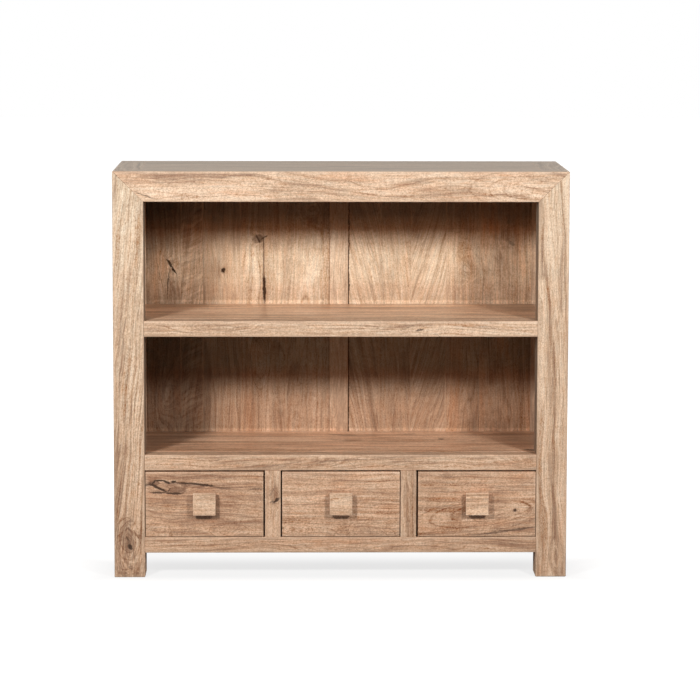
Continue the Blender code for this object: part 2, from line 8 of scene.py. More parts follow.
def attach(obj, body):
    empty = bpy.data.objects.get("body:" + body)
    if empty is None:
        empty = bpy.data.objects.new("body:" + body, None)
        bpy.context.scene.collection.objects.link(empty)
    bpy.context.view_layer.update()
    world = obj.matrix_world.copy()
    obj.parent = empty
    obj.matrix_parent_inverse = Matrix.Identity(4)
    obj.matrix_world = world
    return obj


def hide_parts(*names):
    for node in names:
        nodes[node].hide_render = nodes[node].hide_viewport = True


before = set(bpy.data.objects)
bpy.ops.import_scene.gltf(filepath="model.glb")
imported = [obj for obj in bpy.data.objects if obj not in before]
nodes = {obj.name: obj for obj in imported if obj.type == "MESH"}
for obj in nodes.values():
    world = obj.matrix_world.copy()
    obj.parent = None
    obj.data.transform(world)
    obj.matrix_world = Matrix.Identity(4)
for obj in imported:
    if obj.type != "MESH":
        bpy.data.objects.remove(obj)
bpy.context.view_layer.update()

# the bookcase's own measures, in metres; depths count back from the front face
frontFace = -0.166
halfWidth = 0.5
depth = 0.35
height = 0.9
postSide = 0.068
rearPostSide = 0.040
rearPostFront = 0.282
footHeight = 0.055
baseTop = 0.090
deckBottom = 0.239
frameBottom = 0.833
railDepth = 0.045
innerX = halfWidth - postSide
jointGap = 0.0002       # left at each mitre
overrun = 0.1           # how far a cutter reaches past what it cuts
bothSides = (("left", -1), ("right", 1))


def at(x, d, z):
    return Vector((x, frontFace + d, z))


# a socket takes a plain value or another node's result
def feed(tree, value, socket):
    if isinstance(value, bpy.types.NodeSocket):
        tree.links.new(value, socket)
    else:
        socket.default_value = value


def node(tree, kind, inputs, out=0, **settings):
    made = tree.nodes.new(kind)
    for key, value in settings.items():
        setattr(made, key, value)
    for key, value in inputs.items():
        feed(tree, value, made.inputs[key])
    return made.outputs[out] if made.outputs else made


def calc(tree, how, *values):
    return node(tree, "ShaderNodeMath", dict(enumerate(values)), operation=how)


def vec(tree, how, *values, out=0):
    return node(tree, "ShaderNodeVectorMath", dict(enumerate(values)), out, operation=how)


def noise(tree, where, scale, detail=2.0, rough=0.5, out=0):
    stretched = vec(tree, "MULTIPLY", where, scale)
    inputs = {"Vector": stretched, "Scale": 1.0, "Detail": detail, "Roughness": rough}
    return node(tree, "ShaderNodeTexNoise", inputs, out, noise_dimensions="3D")


# a noise runs from 0 to 1: these bring its middle to 0
def centred(tree, value):
    return calc(tree, "SUBTRACT", value, 0.5)


def centredVector(tree, value):
    return vec(tree, "SUBTRACT", value, (0.5, 0.5, 0.5))


def span(tree, value, low, high, toLow=0.0, toHigh=1.0, kind="LINEAR"):
    return node(tree, "ShaderNodeMapRange", {0: value, 1: low, 2: high, 3: toLow, 4: toHigh},
                interpolation_type=kind)


def blend(tree, amount, first, second, how="MIX"):
    mixed = tree.nodes.new("ShaderNodeMix")
    mixed.data_type, mixed.blend_type = "RGBA", how
    feed(tree, amount, mixed.inputs[0])
    for value, socket in ((first, mixed.inputs[6]), (second, mixed.inputs[7])):
        feed(tree, (*value, 1.0) if isinstance(value, tuple) and len(value) == 3 else value, socket)
    return mixed.outputs[2]


def newMaterial(name):
    material = bpy.data.materials.new(name)
    material.use_nodes = True
    material.node_tree.nodes.clear()
    return material, material.node_tree


# marks are placed on a face: the two axes across it, and the one that runs through the board
faces = {"front": (0, 2, 1), "top": (0, 1, 2), "side": (1, 2, 0)}


# a gradient ball at a place on the face: 1 in its middle, 0 at its edge; turn is counter-clockwise
def spot(tree, where, face, mark, kind="QUADRATIC_SPHERE"):
    across, up, through = faces[face]
    place, size, turn = [0.0] * 3, [9.0] * 3, [0.0] * 3
    place[across], place[up], size[across], size[up] = mark[:4]
    turn[through] = math.radians(mark[4]) * (-1 if face == "front" else 1)
    inputs = {"Vector": where, "Location": place, "Scale": size, "Rotation": turn}
    placed = node(tree, "ShaderNodeMapping", inputs, vector_type="TEXTURE")
    flat = [1.0] * 3
    flat[through] = 0.0
    placed = vec(tree, "MULTIPLY", placed, flat)
    return node(tree, "ShaderNodeTexGradient", {"Vector": placed}, 1, gradient_type=kind)


# the wood is one finish, and every board changes a little of it
paleWood = {
    "pale": (0.80, 0.578, 0.412), "tan": (0.64, 0.432, 0.286), "brown": (0.33, 0.188, 0.112),
    "orange": (0.66, 0.355, 0.195), "grey": (0.475, 0.304, 0.198), "knot": (0.050, 0.024, 0.013),
    # the colour of the painted sheen on the upper faces
    "paintedSheenColour": (0.58, 0.54, 0.46),
    "rings": 80.0,          # growth lines to the metre
    "wander": 0.018,        # how far the lines stray
    "sway": (3.0, 14.0),    # how often they stray, along and across
    "taper": 0.02,          # how much they widen along the board
    "lean": 0.0,            # slope of the grain against the board's length
    # how much each kind of mark shows
    "lines": 1.9, "streaks": 1.1, "fibre": 1.5, "patches": 1.3, "ripple": 0.12, "warmth": 0.35,
    "speckle": 0.42, "pores": 0.22, "contours": 0.42, "hue": 0.45,
    "loopFaint": 0.35,      # share of a loop that shows where it is broken up
    "paintedTopSheen": 0.0,         # a painted grey sheen where it faces up
    "redness": (0.0, 0.0),  # redder by this at the floor and at the top of the case
    "depth": 0.62,          # from brown at 0 to pale at 1
    "tone": 1.0,
    "roughness": 0.50, "gloss": 0.5,
    "dusk": (),             # painted shade: heights, tones and redness, darker high up in each bay
    "paintedShadows": (),             # painted shadows: places, half sizes, turn and share of the tone taken away
    "inward": ((0.0, -1.0, 0.0),),  # where the faces look that get the painted shade and are rougher
    "inwardFrom": (0.5, 0.9),       # how squarely they must look there
    "insideMatt": 0.0,              # how much rougher they are
    "streakScale": (3.5, 110.0),
    "rippleLean": 0.0,      # how far ripples climb to the right
    "relief": 0.35,
    # paler arrises: wear and a painted highlight
    "edgeWearAndHighlight": 0.35,
}
# kinds of mark: how often along and across the grain, detail and roughness
grainKinds = {
    "shiver": (16.0, 60.0, 2.0, 0.5), "fibre": (9.0, 380.0, 1.0, 0.6), "speckle": (330.0, 400.0, 1.0, 0.6),
    "pores": (130.0, 440.0, 1.0, 0.5), "hue": (30.0, 200.0, 2.0, 0.6), "patches": (5.0, 17.0, 3.0, 0.55),
    "warmth": (4.2, 30.0, 3.0, 0.6), "ripple": (125.0, 26.0, 1.0, 0.5),
}
# where a mark begins and where it is full, as levels of its noise or of its ball
markLevels = {
    "knotCore": (0.17, 0.36), "warm": (0.50, 0.72), "pore": (0.53, 0.72), "contourWidth": (0.0, 0.05),
    "contourWhere": (0.42, 0.62), "loopWhole": (0.38, 0.54), "loopWidth": (0.0, 0.045), "crack": (0.0, 0.40),
    "paintedShadow": (0.0, 0.45), "wornAndHighlit": (0.35, 0.6), "upward": (0.5, 0.9),
}
# small shares that all the boards have in common
fineWork = {
    "seedShift": (1.37, 0.71, 2.13),
    "markShiver": 0.45, "lineShiver": 0.10,     # shares of the wander in the marks' outlines and in the lines
    "loopStray": 0.40, "loopLevel": 0.22,
    "knotBrown": -0.6, "knotTint": 0.45,
    "lightTint": (1.0, 1.25, 1.45),             # what is darker is redder too
    "hueTint": (-0.2, 0.45, 1.0),
    "base": (1.03, 1.03, 1.03),
    "redLoss": (0.0, 0.5, 0.75),                # what a redder colour loses of red, green and blue
    # detail and roughness of the noises that have a scale of their own
    "strayNoise": (2.0, 0.55), "streakNoise": (2.0, 0.62), "lineNoise": (4.0, 0.72),
    "raggedNoise": (2.0, 0.6), "raggedScale": (170.0, 170.0, 170.0),
    "ragged": 0.0055,                           # how far the cracks' edges stray
    "contourShare": 0.9,                        # contours to the growth lines
    "wornAndHighlitLeast": 0.3,
    "fibreSheen": 0.18, "wornSheen": -0.08, "crackMatt": 0.45,
    "speckleRelief": 0.5, "fibreRelief": 0.6, "rippleRelief": 0.5, "crackRelief": -2.5, "reliefDepth": 0.0007,
}
axes = {"x": Vector((1, 0, 0)), "y": Vector((0, 1, 0)), "z": Vector((0, 0, 1))}
leanAxes = {"x": "z", "y": "x", "z": "x"}


def stretch(along, lengthwise, sideways):
    grain = axes[along]
    return tuple(lengthwise if grain[i] else sideways for i in range(3))


def grainNoise(tree, where, along, kind, out=0):
    lengthwise, sideways, detail, rough = grainKinds[kind]
    return noise(tree, where, stretch(along, lengthwise, sideways), detail, rough, out)


# slope is added to where along one axis as another one is followed
def sheared(tree, where, axis, slope, along):
    tilt = node(tree, "ShaderNodeVectorMath", {0: tuple(axis * -slope), 3: along}, operation="SCALE")
    return vec(tree, "ADD", where, tilt), tilt


def setRamp(tree, amount, stops):
    ramp = tree.nodes.new("ShaderNodeValToRGB")
    while len(ramp.color_ramp.elements) < len(stops):
        ramp.color_ramp.elements.new(0.5)
    for element, (place, colour) in zip(ramp.color_ramp.elements, stops):
        element.position, element.color = place, (*colour, 1.0)
    feed(tree, amount, ramp.inputs[0])
    return ramp.outputs[0]


def redder(amount):
    return tuple(1.0 - loss * amount for loss in fineWork["redLoss"])


def heightRamp(tree, where, levels, colours):
    split = tree.nodes.new("ShaderNodeSeparateXYZ")
    feed(tree, where, split.inputs[0])
    low, high = levels[0], levels[-1]
    stops = [((level - low) / (high - low), colour) for level, colour in zip(levels, colours)]
    return setRamp(tree, span(tree, split.outputs[2], low, high), stops)


# 1 on the faces that look into the bays, 0 on the others; the painted shade goes there
def looksInto(tree, wood):
    normal = node(tree, "ShaderNodeTexCoord", {}, 1)
    looks = 0.0
    for direction in wood["inward"]:
        looks = calc(tree, "MAXIMUM", looks, vec(tree, "DOT_PRODUCT", normal, direction, out=1))
    return span(tree, looks, *wood["inwardFrom"])


# painted shade by height, and painted shadows at dimmer places
def duskTone(tree, where, face, wood, inside):
    tint = (1.0, 1.0, 1.0)
    if wood["dusk"]:
        heights = [level for level, tone, redness in wood["dusk"]]
        colours = [tuple(tone * part for part in redder(redness)) for level, tone, redness in wood["dusk"]]
        tint = heightRamp(tree, where, heights, colours)
    for *mark, amount in wood["paintedShadows"]:
        ball = spot(tree, where, face, mark, "SPHERICAL")
        shadow = span(tree, ball, *markLevels["paintedShadow"], 1.0, 1.0 - amount, "SMOOTHSTEP")
        tint = vec(tree, "MULTIPLY", tint, shadow)
    return blend(tree, inside, (1.0, 1.0, 1.0), tint)


# places in the board: strayed, leaning, and in a part of the noise that is its own
def grainPlaces(tree, along, seed, wood):
    where = node(tree, "ShaderNodeTexCoord", {}, 3)
    own = vec(tree, "ADD", where, tuple(seed * step for step in fineWork["seedShift"]))
    stray = noise(tree, own, stretch(along, *wood["sway"]), *fineWork["strayNoise"], 1)
    stray = vec(tree, "MULTIPLY", centredVector(tree, stray), (wood["wander"] * 2,) * 3)
    shiver = centredVector(tree, grainNoise(tree, own, along, "shiver", 1))
    near = vec(tree, "MULTIPLY_ADD", shiver, (wood["wander"] * fineWork["markShiver"],) * 3, where)
    moved = vec(tree, "ADD", where, stray)
    moved = vec(tree, "MULTIPLY_ADD", shiver, (wood["wander"] * fineWork["lineShiver"],) * 3, moved)
    lengthwise = vec(tree, "DOT_PRODUCT", where, tuple(axes[along]), out=1)
    if wood["lean"]:
        moved, slope = sheared(tree, moved, axes[leanAxes[along]], wood["lean"], lengthwise)
        own = vec(tree, "ADD", own, slope)
    return {"where": where, "own": own, "near": near, "moved": moved, "stray": stray,
            "lengthwise": lengthwise}


# growth lines: the distance from the tree's heart, pushed aside by knots
def growthLines(tree, places, along, heart, face, wood, knots):
    offset = vec(tree, "MULTIPLY", vec(tree, "SUBTRACT", places["moved"], heart), stretch(along, 0.0, 1.0))
    rings = vec(tree, "LENGTH", offset, out=1)
    rings = calc(tree, "MULTIPLY_ADD", places["lengthwise"], wood["taper"], rings)
    darkSpots = 0.0
    for *mark, lift, dark in knots:
        ball = spot(tree, places["near"], face, mark)
        rings = calc(tree, "MULTIPLY_ADD", ball, lift, rings)
        if dark:
            core = span(tree, ball, *markLevels["knotCore"], 0.0, dark, "SMOOTHSTEP")
            darkSpots = calc(tree, "MAXIMUM", darkSpots, core)
    detail, rough = fineWork["lineNoise"]
    inputs = {"W": rings, "Scale": wood["rings"], "Detail": detail, "Roughness": rough}
    growth = node(tree, "ShaderNodeTexNoise", inputs, noise_dimensions="1D")
    inputs = {"W": rings, "Scale": wood["rings"] * fineWork["contourShare"], "Detail": 1.0}
    outline = node(tree, "ShaderNodeTexNoise", inputs, noise_dimensions="1D")
    return growth, outline, darkSpots


def grainMarks(tree, places, along, wood):
    own, moved = places["own"], places["moved"]
    marks = {}
    for kind in ("speckle", "pores", "hue", "patches", "warmth"):
        marks[kind] = grainNoise(tree, own, along, kind)
    marks["fibre"] = grainNoise(tree, moved, along, "fibre")
    marks["streaks"] = noise(tree, moved, stretch(along, *wood["streakScale"]), *fineWork["streakNoise"])
    rippled = moved
    if wood["rippleLean"]:
        sideways = vec(tree, "DOT_PRODUCT", moved, tuple(axes[leanAxes[along]]), out=1)
        rippled = sheared(tree, moved, axes[along], wood["rippleLean"], sideways)[0]
    marks["ripple"] = grainNoise(tree, rippled, along, "ripple")
    return marks


# brown to pale by growth, and warmed in patches
def groundColour(tree, places, marks, darkSpots, face, wood, shades):
    paleness = calc(tree, "MULTIPLY_ADD", darkSpots, fineWork["knotBrown"], wood["depth"])
    for kind in ("lines", "streaks", "fibre", "patches"):
        paleness = calc(tree, "MULTIPLY_ADD", centred(tree, marks[kind]), wood[kind], paleness)
    for *mark, amount in shades:
        paleness = calc(tree, "MULTIPLY_ADD", spot(tree, places["near"], face, mark), amount, paleness)
    stops = ((0.0, wood["brown"]), (0.30, wood["grey"]), (0.60, wood["tan"]), (1.0, wood["pale"]))
    colour = setRamp(tree, paleness, stops)
    warm = span(tree, marks["warmth"], *markLevels["warm"], 0.0, wood["warmth"], "SMOOTHSTEP")
    return blend(tree, warm, colour, wood["orange"])


# lighter and darker by the fine marks and the loops
def fineTint(tree, places, marks, outline, face, wood, loops):
    light = calc(tree, "MULTIPLY", centred(tree, marks["speckle"]), wood["speckle"] * 2)
    light = calc(tree, "MULTIPLY_ADD", centred(tree, marks["ripple"]), wood["ripple"] * 2, light)
    light = calc(tree, "SUBTRACT", light, span(tree, marks["pores"], *markLevels["pore"], 0.0, wood["pores"]))
    edge = calc(tree, "ABSOLUTE", centred(tree, outline))
    edge = span(tree, edge, *markLevels["contourWidth"], 1.0, 0.0)
    edge = calc(tree, "MULTIPLY", edge, span(tree, marks["patches"], *markLevels["contourWhere"]))
    light = calc(tree, "MULTIPLY_ADD", edge, -wood["contours"], light)
    if loops:
        drifting = vec(tree, "MULTIPLY_ADD", places["stray"], (fineWork["loopStray"],) * 3, places["near"])
        whole = span(tree, marks["warmth"], *markLevels["loopWhole"], wood["loopFaint"], 1.0, "SMOOTHSTEP")
    for *mark, dark in loops:
        ball = spot(tree, drifting, face, mark, "SPHERICAL")
        oval = calc(tree, "ABSOLUTE", calc(tree, "SUBTRACT", ball, fineWork["loopLevel"]))
        oval = span(tree, oval, *markLevels["loopWidth"], dark, 0.0, "SMOOTHSTEP")
        light = calc(tree, "SUBTRACT", light, calc(tree, "MULTIPLY", oval, whole))
    tint = vec(tree, "MULTIPLY_ADD", light, fineWork["lightTint"], fineWork["base"])
    hue = calc(tree, "MULTIPLY", centred(tree, marks["hue"]), wood["hue"])
    tint = vec(tree, "MULTIPLY_ADD", hue, fineWork["hueTint"], tint)
    return vec(tree, "MULTIPLY", tint, (wood["tone"],) * 3)


# redder by height, and a painted grey sheen on the upper faces
def rednessAndPaintedSheen(tree, where, wood, colour):
    if any(wood["redness"]):
        byHeight = heightRamp(tree, where, (0.0, height), [redder(amount) for amount in wood["redness"]])
        colour = blend(tree, 1.0, colour, byHeight, "MULTIPLY")
    if wood["paintedTopSheen"]:
        facing = tree.nodes.new("ShaderNodeSeparateXYZ")
        feed(tree, node(tree, "ShaderNodeTexCoord", {}, 1), facing.inputs[0])
        upward = span(tree, facing.outputs[2], *markLevels["upward"], 0.0, wood["paintedTopSheen"])
        colour = blend(tree, upward, colour, wood["paintedSheenColour"])
    return colour


def openCracks(tree, places, face, cracks):
    splits = 0.0
    if cracks:
        ragged = noise(tree, places["own"], fineWork["raggedScale"], *fineWork["raggedNoise"], 1)
        ragged = centredVector(tree, ragged)
        ragged = vec(tree, "MULTIPLY_ADD", ragged, (fineWork["ragged"],) * 3, places["near"])
    for *mark, dark in cracks:
        line = spot(tree, ragged, face, mark, "SPHERICAL")
        splits = calc(tree, "MAXIMUM", splits, span(tree, line, *markLevels["crack"], 0.0, dark))
    return splits


def surfaceRelief(tree, marks, splits, wood):
    relief = calc(tree, "MULTIPLY", marks["fibre"], fineWork["fibreRelief"])
    relief = calc(tree, "MULTIPLY_ADD", marks["speckle"], fineWork["speckleRelief"], relief)
    relief = calc(tree, "MULTIPLY_ADD", marks["ripple"], fineWork["rippleRelief"], relief)
    relief = calc(tree, "MULTIPLY_ADD", splits, fineWork["crackRelief"], relief)
    return node(tree, "ShaderNodeBump", {
        "Strength": wood["relief"], "Distance": fineWork["reliefDepth"], "Height": relief})


# knots: place, half sizes, turn, lift of the growth lines, darkness
# cracks: place, half sizes, turn, darkness
# loops: oval growth lines, with place, half sizes, turn, darkness
# shades: place, half sizes, turn, paler or browner
def woodFinish(name, along, heart, seed, face="front", knots=(), cracks=(), shades=(), loops=(), **changes):
    wood = {**paleWood, **changes}
    material, tree = newMaterial(name)
    places = grainPlaces(tree, along, seed, wood)
    growth, outline, darkSpots = growthLines(tree, places, along, heart, face, wood, knots)
    marks = grainMarks(tree, places, along, wood)
    marks["lines"] = growth

    colour = groundColour(tree, places, marks, darkSpots, face, wood, shades)
    tint = fineTint(tree, places, marks, outline, face, wood, loops)
    colour = blend(tree, 1.0, colour, tint, "MULTIPLY")
    colour = rednessAndPaintedSheen(tree, places["where"], wood, colour)
    # painted shade and painted shadows on the faces that look into the bays
    inside = 0.0
    if wood["dusk"] or wood["paintedShadows"]:
        inside = looksInto(tree, wood)
        shade = duskTone(tree, places["where"], face, wood, inside)
        colour = blend(tree, 1.0, colour, shade, "MULTIPLY")
    if knots:
        colour = blend(tree, calc(tree, "MULTIPLY", darkSpots, fineWork["knotTint"]), colour, wood["knot"])
    splits = openCracks(tree, places, face, cracks)
    if cracks:
        colour = blend(tree, splits, colour, wood["knot"])

    # handled arrises are paler and smoother, from wear and a painted highlight; cracks and the faces inside
    # are rougher
    wearAndHighlight = node(tree, "ShaderNodeAttribute", {}, 2, attribute_name="wearAndHighlight")
    wornAndHighlit = span(tree, marks["patches"], *markLevels["wornAndHighlit"], fineWork["wornAndHighlitLeast"], wood["edgeWearAndHighlight"])
    wearAndHighlight = calc(tree, "MULTIPLY", wearAndHighlight, wornAndHighlit)
    colour = blend(tree, wearAndHighlight, colour, wood["pale"])
    sheen = centred(tree, marks["fibre"])
    sheen = calc(tree, "MULTIPLY_ADD", sheen, fineWork["fibreSheen"], wood["roughness"])
    sheen = calc(tree, "MULTIPLY_ADD", wearAndHighlight, fineWork["wornSheen"], sheen)
    sheen = calc(tree, "MULTIPLY_ADD", inside, wood["insideMatt"], sheen)
    sheen = calc(tree, "MULTIPLY_ADD", splits, fineWork["crackMatt"], sheen)
    bump = surfaceRelief(tree, marks, splits, wood)
    shader = node(tree, "ShaderNodeBsdfPrincipled", {
        "Base Color": colour, "Roughness": sheen, "Normal": bump, "Specular IOR Level": wood["gloss"]})
    node(tree, "ShaderNodeOutputMaterial", {"Surface": shader})
    return material


# pieces are worked on as by hand, so one alone is picked each time
def nothingPicked():
    if bpy.context.object and bpy.context.object.mode != "OBJECT":
        bpy.ops.object.mode_set(mode="OBJECT")
    bpy.ops.object.select_all(action="DESELECT")


def take(piece):
    nothingPicked()
    piece.select_set(True)
    bpy.context.view_layer.objects.active = piece


def applyAll(piece):
    take(piece)
    for name in [modifier.name for modifier in piece.modifiers]:
        bpy.ops.object.modifier_apply(modifier=name)


def startBlock(name, low, high):
    nothingPicked()
    bpy.ops.mesh.primitive_cube_add(size=1, location=(low + high) / 2, scale=high - low)
    piece = bpy.context.object
    piece.name = piece.data.name = name
    bpy.ops.object.transform_apply(location=True, rotation=True, scale=True)
    return piece


def pickFaces(piece, wanted):
    take(piece)
    bpy.ops.object.mode_set(mode="EDIT")
    bpy.ops.mesh.select_mode(type="FACE")
    bpy.ops.mesh.select_all(action="DESELECT")
    mesh = bmesh.from_edit_mesh(piece.data)
    for face in mesh.faces:
        face.select_set(bool(wanted(face.calc_center_median(), face.normal)))
    bmesh.update_edit_mesh(piece.data)


edgeRules = {
    "eased": 40.0,          # edges sharper than this many degrees are eased
    "smoothed": 30.0,       # and those duller than this are shaded smooth
    "flat": 0.9999,         # how squarely a flat face looks along an axis
    "segments": 3,
}


def easeEdges(piece, width, segments=edgeRules["segments"], angle=edgeRules["eased"]):
    bevel = piece.modifiers.new("arris", "BEVEL")
    bevel.width, bevel.segments, bevel.limit_method = width, segments, "ANGLE"
    bevel.angle_limit = math.radians(angle)
    applyAll(piece)


# a band beside each arris, so that the wear and the painted highlight can fade across it
def bandFaces(piece, width):
    for axis in axes.values():
        for side in (axis, -axis):
            pickFaces(piece, lambda middle, normal: normal.dot(side) > edgeRules["flat"])
            bpy.ops.mesh.inset(thickness=width, depth=0.0, use_boundary=True, use_even_offset=True)
    bpy.ops.object.mode_set(mode="OBJECT")


# the arrises take wear and a painted highlight
def markWearAndHighlight(piece):
    wearAndHighlight = piece.data.attributes.new("wearAndHighlight", "FLOAT", "POINT")
    flat = [max(abs(v) for v in face.normal) > edgeRules["flat"] for face in piece.data.polygons]
    wornAndHighlit = set()
    for face, isFlat in zip(piece.data.polygons, flat):
        if not isFlat:
            wornAndHighlit.update(face.vertices)
    for index in wornAndHighlit:
        wearAndHighlight.data[index].value = 1.0


def trim(piece, place, direction):
    take(piece)
    bpy.ops.object.mode_set(mode="EDIT")
    bpy.ops.mesh.select_all(action="SELECT")
    bpy.ops.mesh.bisect(plane_co=place, plane_no=direction, use_fill=True, clear_outer=True)
    bpy.ops.object.mode_set(mode="OBJECT")


def cutAway(piece, low, high):
    cutter = startBlock("cutter", low, high)
    cutWith(piece, cutter)
    bpy.data.objects.remove(cutter)


def cutWith(piece, cutter):
    cut = piece.modifiers.new("cut", "BOOLEAN")
    cut.operation, cut.solver, cut.object = "DIFFERENCE", "EXACT", cutter
    applyAll(piece)


def finishPiece(piece, material, body, replaced):
    take(piece)
    bpy.ops.object.shade_smooth_by_angle(angle=math.radians(edgeRules["smoothed"]))
    if material:
        piece.data.materials.clear()
        piece.data.materials.append(material)
    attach(piece, body)
    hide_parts(*replaced)
    return piece


boardSpec = {"arris": 0.0018, "band": 0.006, "bandShare": 0.3, "spare": 0.01}


# a board with eased arrises; its butting ends are cut square, or to a mitre, after the easing
def board(name, low, high, along, arris=boardSpec["arris"], butts=(), mitres=(), band=boardSpec["band"]):
    low, high = at(*low), at(*high)
    grain = axes[along]
    longLow, longHigh = low.copy(), high.copy()
    if "low" in butts:
        longLow -= grain * boardSpec["spare"]
    if "high" in butts:
        longHigh += grain * boardSpec["spare"]
    piece = startBlock(name, longLow, longHigh)
    easeEdges(piece, arris)
    bandFaces(piece, min(band, boardSpec["bandShare"] * min(high - low)))
    markWearAndHighlight(piece)
    if "low" in butts:
        trim(piece, low, -grain)
    if "high" in butts:
        trim(piece, high, grain)
    for place, direction in mitres:
        direction = Vector(direction).normalized()
        trim(piece, at(*place) - direction * jointGap, direction)
    return piece


def joinBoards(name, boards):
    nothingPicked()
    for part in boards:
        part.select_set(True)
    bpy.context.view_layer.objects.active = boards[0]
    if len(boards) > 1:
        bpy.ops.object.join()
    piece = bpy.context.object
    piece.name = piece.data.name = name
    return piece


def paint(piece, material):
    piece.data.materials.clear()
    piece.data.materials.append(material)
    return piece


copySpec = {"arris": 0.0006, "segments": 2, "sharp": 50.0, "weld": 0.00001, "flat": 1.0}


# a joiner's copy of a CAD node: welded, its flats made whole again and its arrises eased
def joinersCopy(name, nodeName, arris=copySpec["arris"]):
    nothingPicked()
    piece = bpy.data.objects.new(name, nodes[nodeName].data.copy())
    bpy.context.scene.collection.objects.link(piece)
    piece.data.name = name
    take(piece)
    bpy.ops.object.mode_set(mode="EDIT")
    bpy.ops.mesh.select_all(action="SELECT")
    bpy.ops.mesh.remove_doubles(threshold=copySpec["weld"])
    bpy.ops.mesh.dissolve_limited(angle_limit=math.radians(copySpec["flat"]))
    bpy.ops.mesh.normals_make_consistent(inside=False)
    bpy.ops.object.mode_set(mode="OBJECT")
    if arris:
        easeEdges(piece, arris, copySpec["segments"], copySpec["sharp"])
        markWearAndHighlight(piece)
    return piece


print("camera, floor and lamps")
view = {
    "place": (-0.0973, -6.5538, 1.338), "down": 0.1126, "aside": 0.0183, "roll": 0.0023,
    "focal": 2932.96, "frame": 700.0, "shift": -49.0,   # in pixels of the picture
    "sensor": 36.0, "reach": 60.0,
}


def placeCamera():
    aside, down, roll = view["aside"], view["down"], view["roll"]
    forward = Vector((math.sin(aside) * math.cos(down), math.cos(aside) * math.cos(down), -math.sin(down)))
    right = Vector((math.cos(aside), -math.sin(aside), 0.0))
    up = right.cross(forward)
    rolledRight = math.cos(roll) * right + math.sin(roll) * up
    rolledUp = math.cos(roll) * up - math.sin(roll) * right
    camera = bpy.data.objects.new("camera", bpy.data.cameras.new("camera"))
    bpy.context.scene.collection.objects.link(camera)
    turn = Matrix((rolledRight, rolledUp, -forward)).transposed().to_4x4()
    camera.matrix_world = Matrix.Translation(view["place"]) @ turn
    camera.data.sensor_width = view["sensor"]
    camera.data.lens = view["focal"] / view["frame"] * view["sensor"]
    camera.data.shift_y = view["shift"] / view["frame"]
    camera.data.clip_end = view["reach"]
    bpy.context.scene.camera = camera


placeCamera()

studio = {
    # place, aim, spread, size and power
    "lamps": {
        "front_left": ((-1.42, -2.42, 1.62), (-1.2, -0.05, 0.75), 140.0, 0.40, 38.0),
        "front_right": ((1.42, -2.42, 1.62), (1.2, -0.05, 0.75), 140.0, 0.40, 33.0),
        "rear_left": ((-1.9, 2.4, 1.15), (0.0, 0.0, 0.5), 180.0, 1.1, 34.0),
        "rear_right": ((1.9, 2.4, 1.15), (0.0, 0.0, 0.5), 180.0, 1.1, 34.0)},
    "lampColour": (1.0, 0.985, 0.96),
    "fill": 0.01,
    "fillColour": (1.0, 0.97, 0.93),
}


def studioLamp(name, place, aim, spread, size, power):
    lamp = bpy.data.lights.new(name, "AREA")
    lamp.shape, lamp.size, lamp.spread = "DISK", size, math.radians(spread)
    lamp.energy, lamp.color = power, studio["lampColour"]
    holder = bpy.data.objects.new(name, lamp)
    bpy.context.scene.collection.objects.link(holder)
    holder.location = place
    holder.rotation_euler = (Vector(aim) - Vector(place)).to_track_quat("-Z", "Y").to_euler()


for name, lampSpec in studio["lamps"].items():
    studioLamp("lamp_" + name, *lampSpec)


def whiteWorld():
    world = bpy.data.worlds.new("studio")
    bpy.context.scene.world = world
    world.use_nodes = True
    tree = world.node_tree
    tree.nodes.clear()
    path = tree.nodes.new("ShaderNodeLightPath")
    seen = calc(tree, "MAXIMUM", path.outputs["Is Camera Ray"], path.outputs["Is Transmission Ray"])
    fill = node(tree, "ShaderNodeBackground", {0: (*studio["fillColour"], 1.0), 1: studio["fill"]})
    mirrored = node(tree, "ShaderNodeBackground", {0: (1.0, 1.0, 1.0, 1.0), 1: 1.0})
    white = node(tree, "ShaderNodeBackground", {0: (1.0, 1.0, 1.0, 1.0), 1: 1.0})
    first = node(tree, "ShaderNodeMixShader", {0: path.outputs["Is Glossy Ray"], 1: fill, 2: mirrored})
    second = node(tree, "ShaderNodeMixShader", {0: seen, 1: first, 2: white})
    node(tree, "ShaderNodeOutputWorld", {"Surface": second})


whiteWorld()


floorSpec = {
    "size": 40.0,
    "colour": (0.62, 0.62, 0.62), "cloudColour": (0.7, 0.7, 0.7), "cloudScale": (3.0, 3.0, 3.0),
    "cloud": 0.06, "bounce": 0.10,                     # its tone for the light that it throws back
    "glow": 0.62,                       # share of its look that is plain white
    "near": 1.48, "far": 1.75,          # how white it is near the piece and away from it
    "nearReach": 1.3, "nearEdge": (0.1, 0.5),
    "paintedShadowStrip": 1.25,                      # and lower in a strip below the drawers, a painted floor shadow
    "stripDepth": 0.075, "stripEnds": (0.50, 0.62), "stripSides": (0.05, 0.17),
}


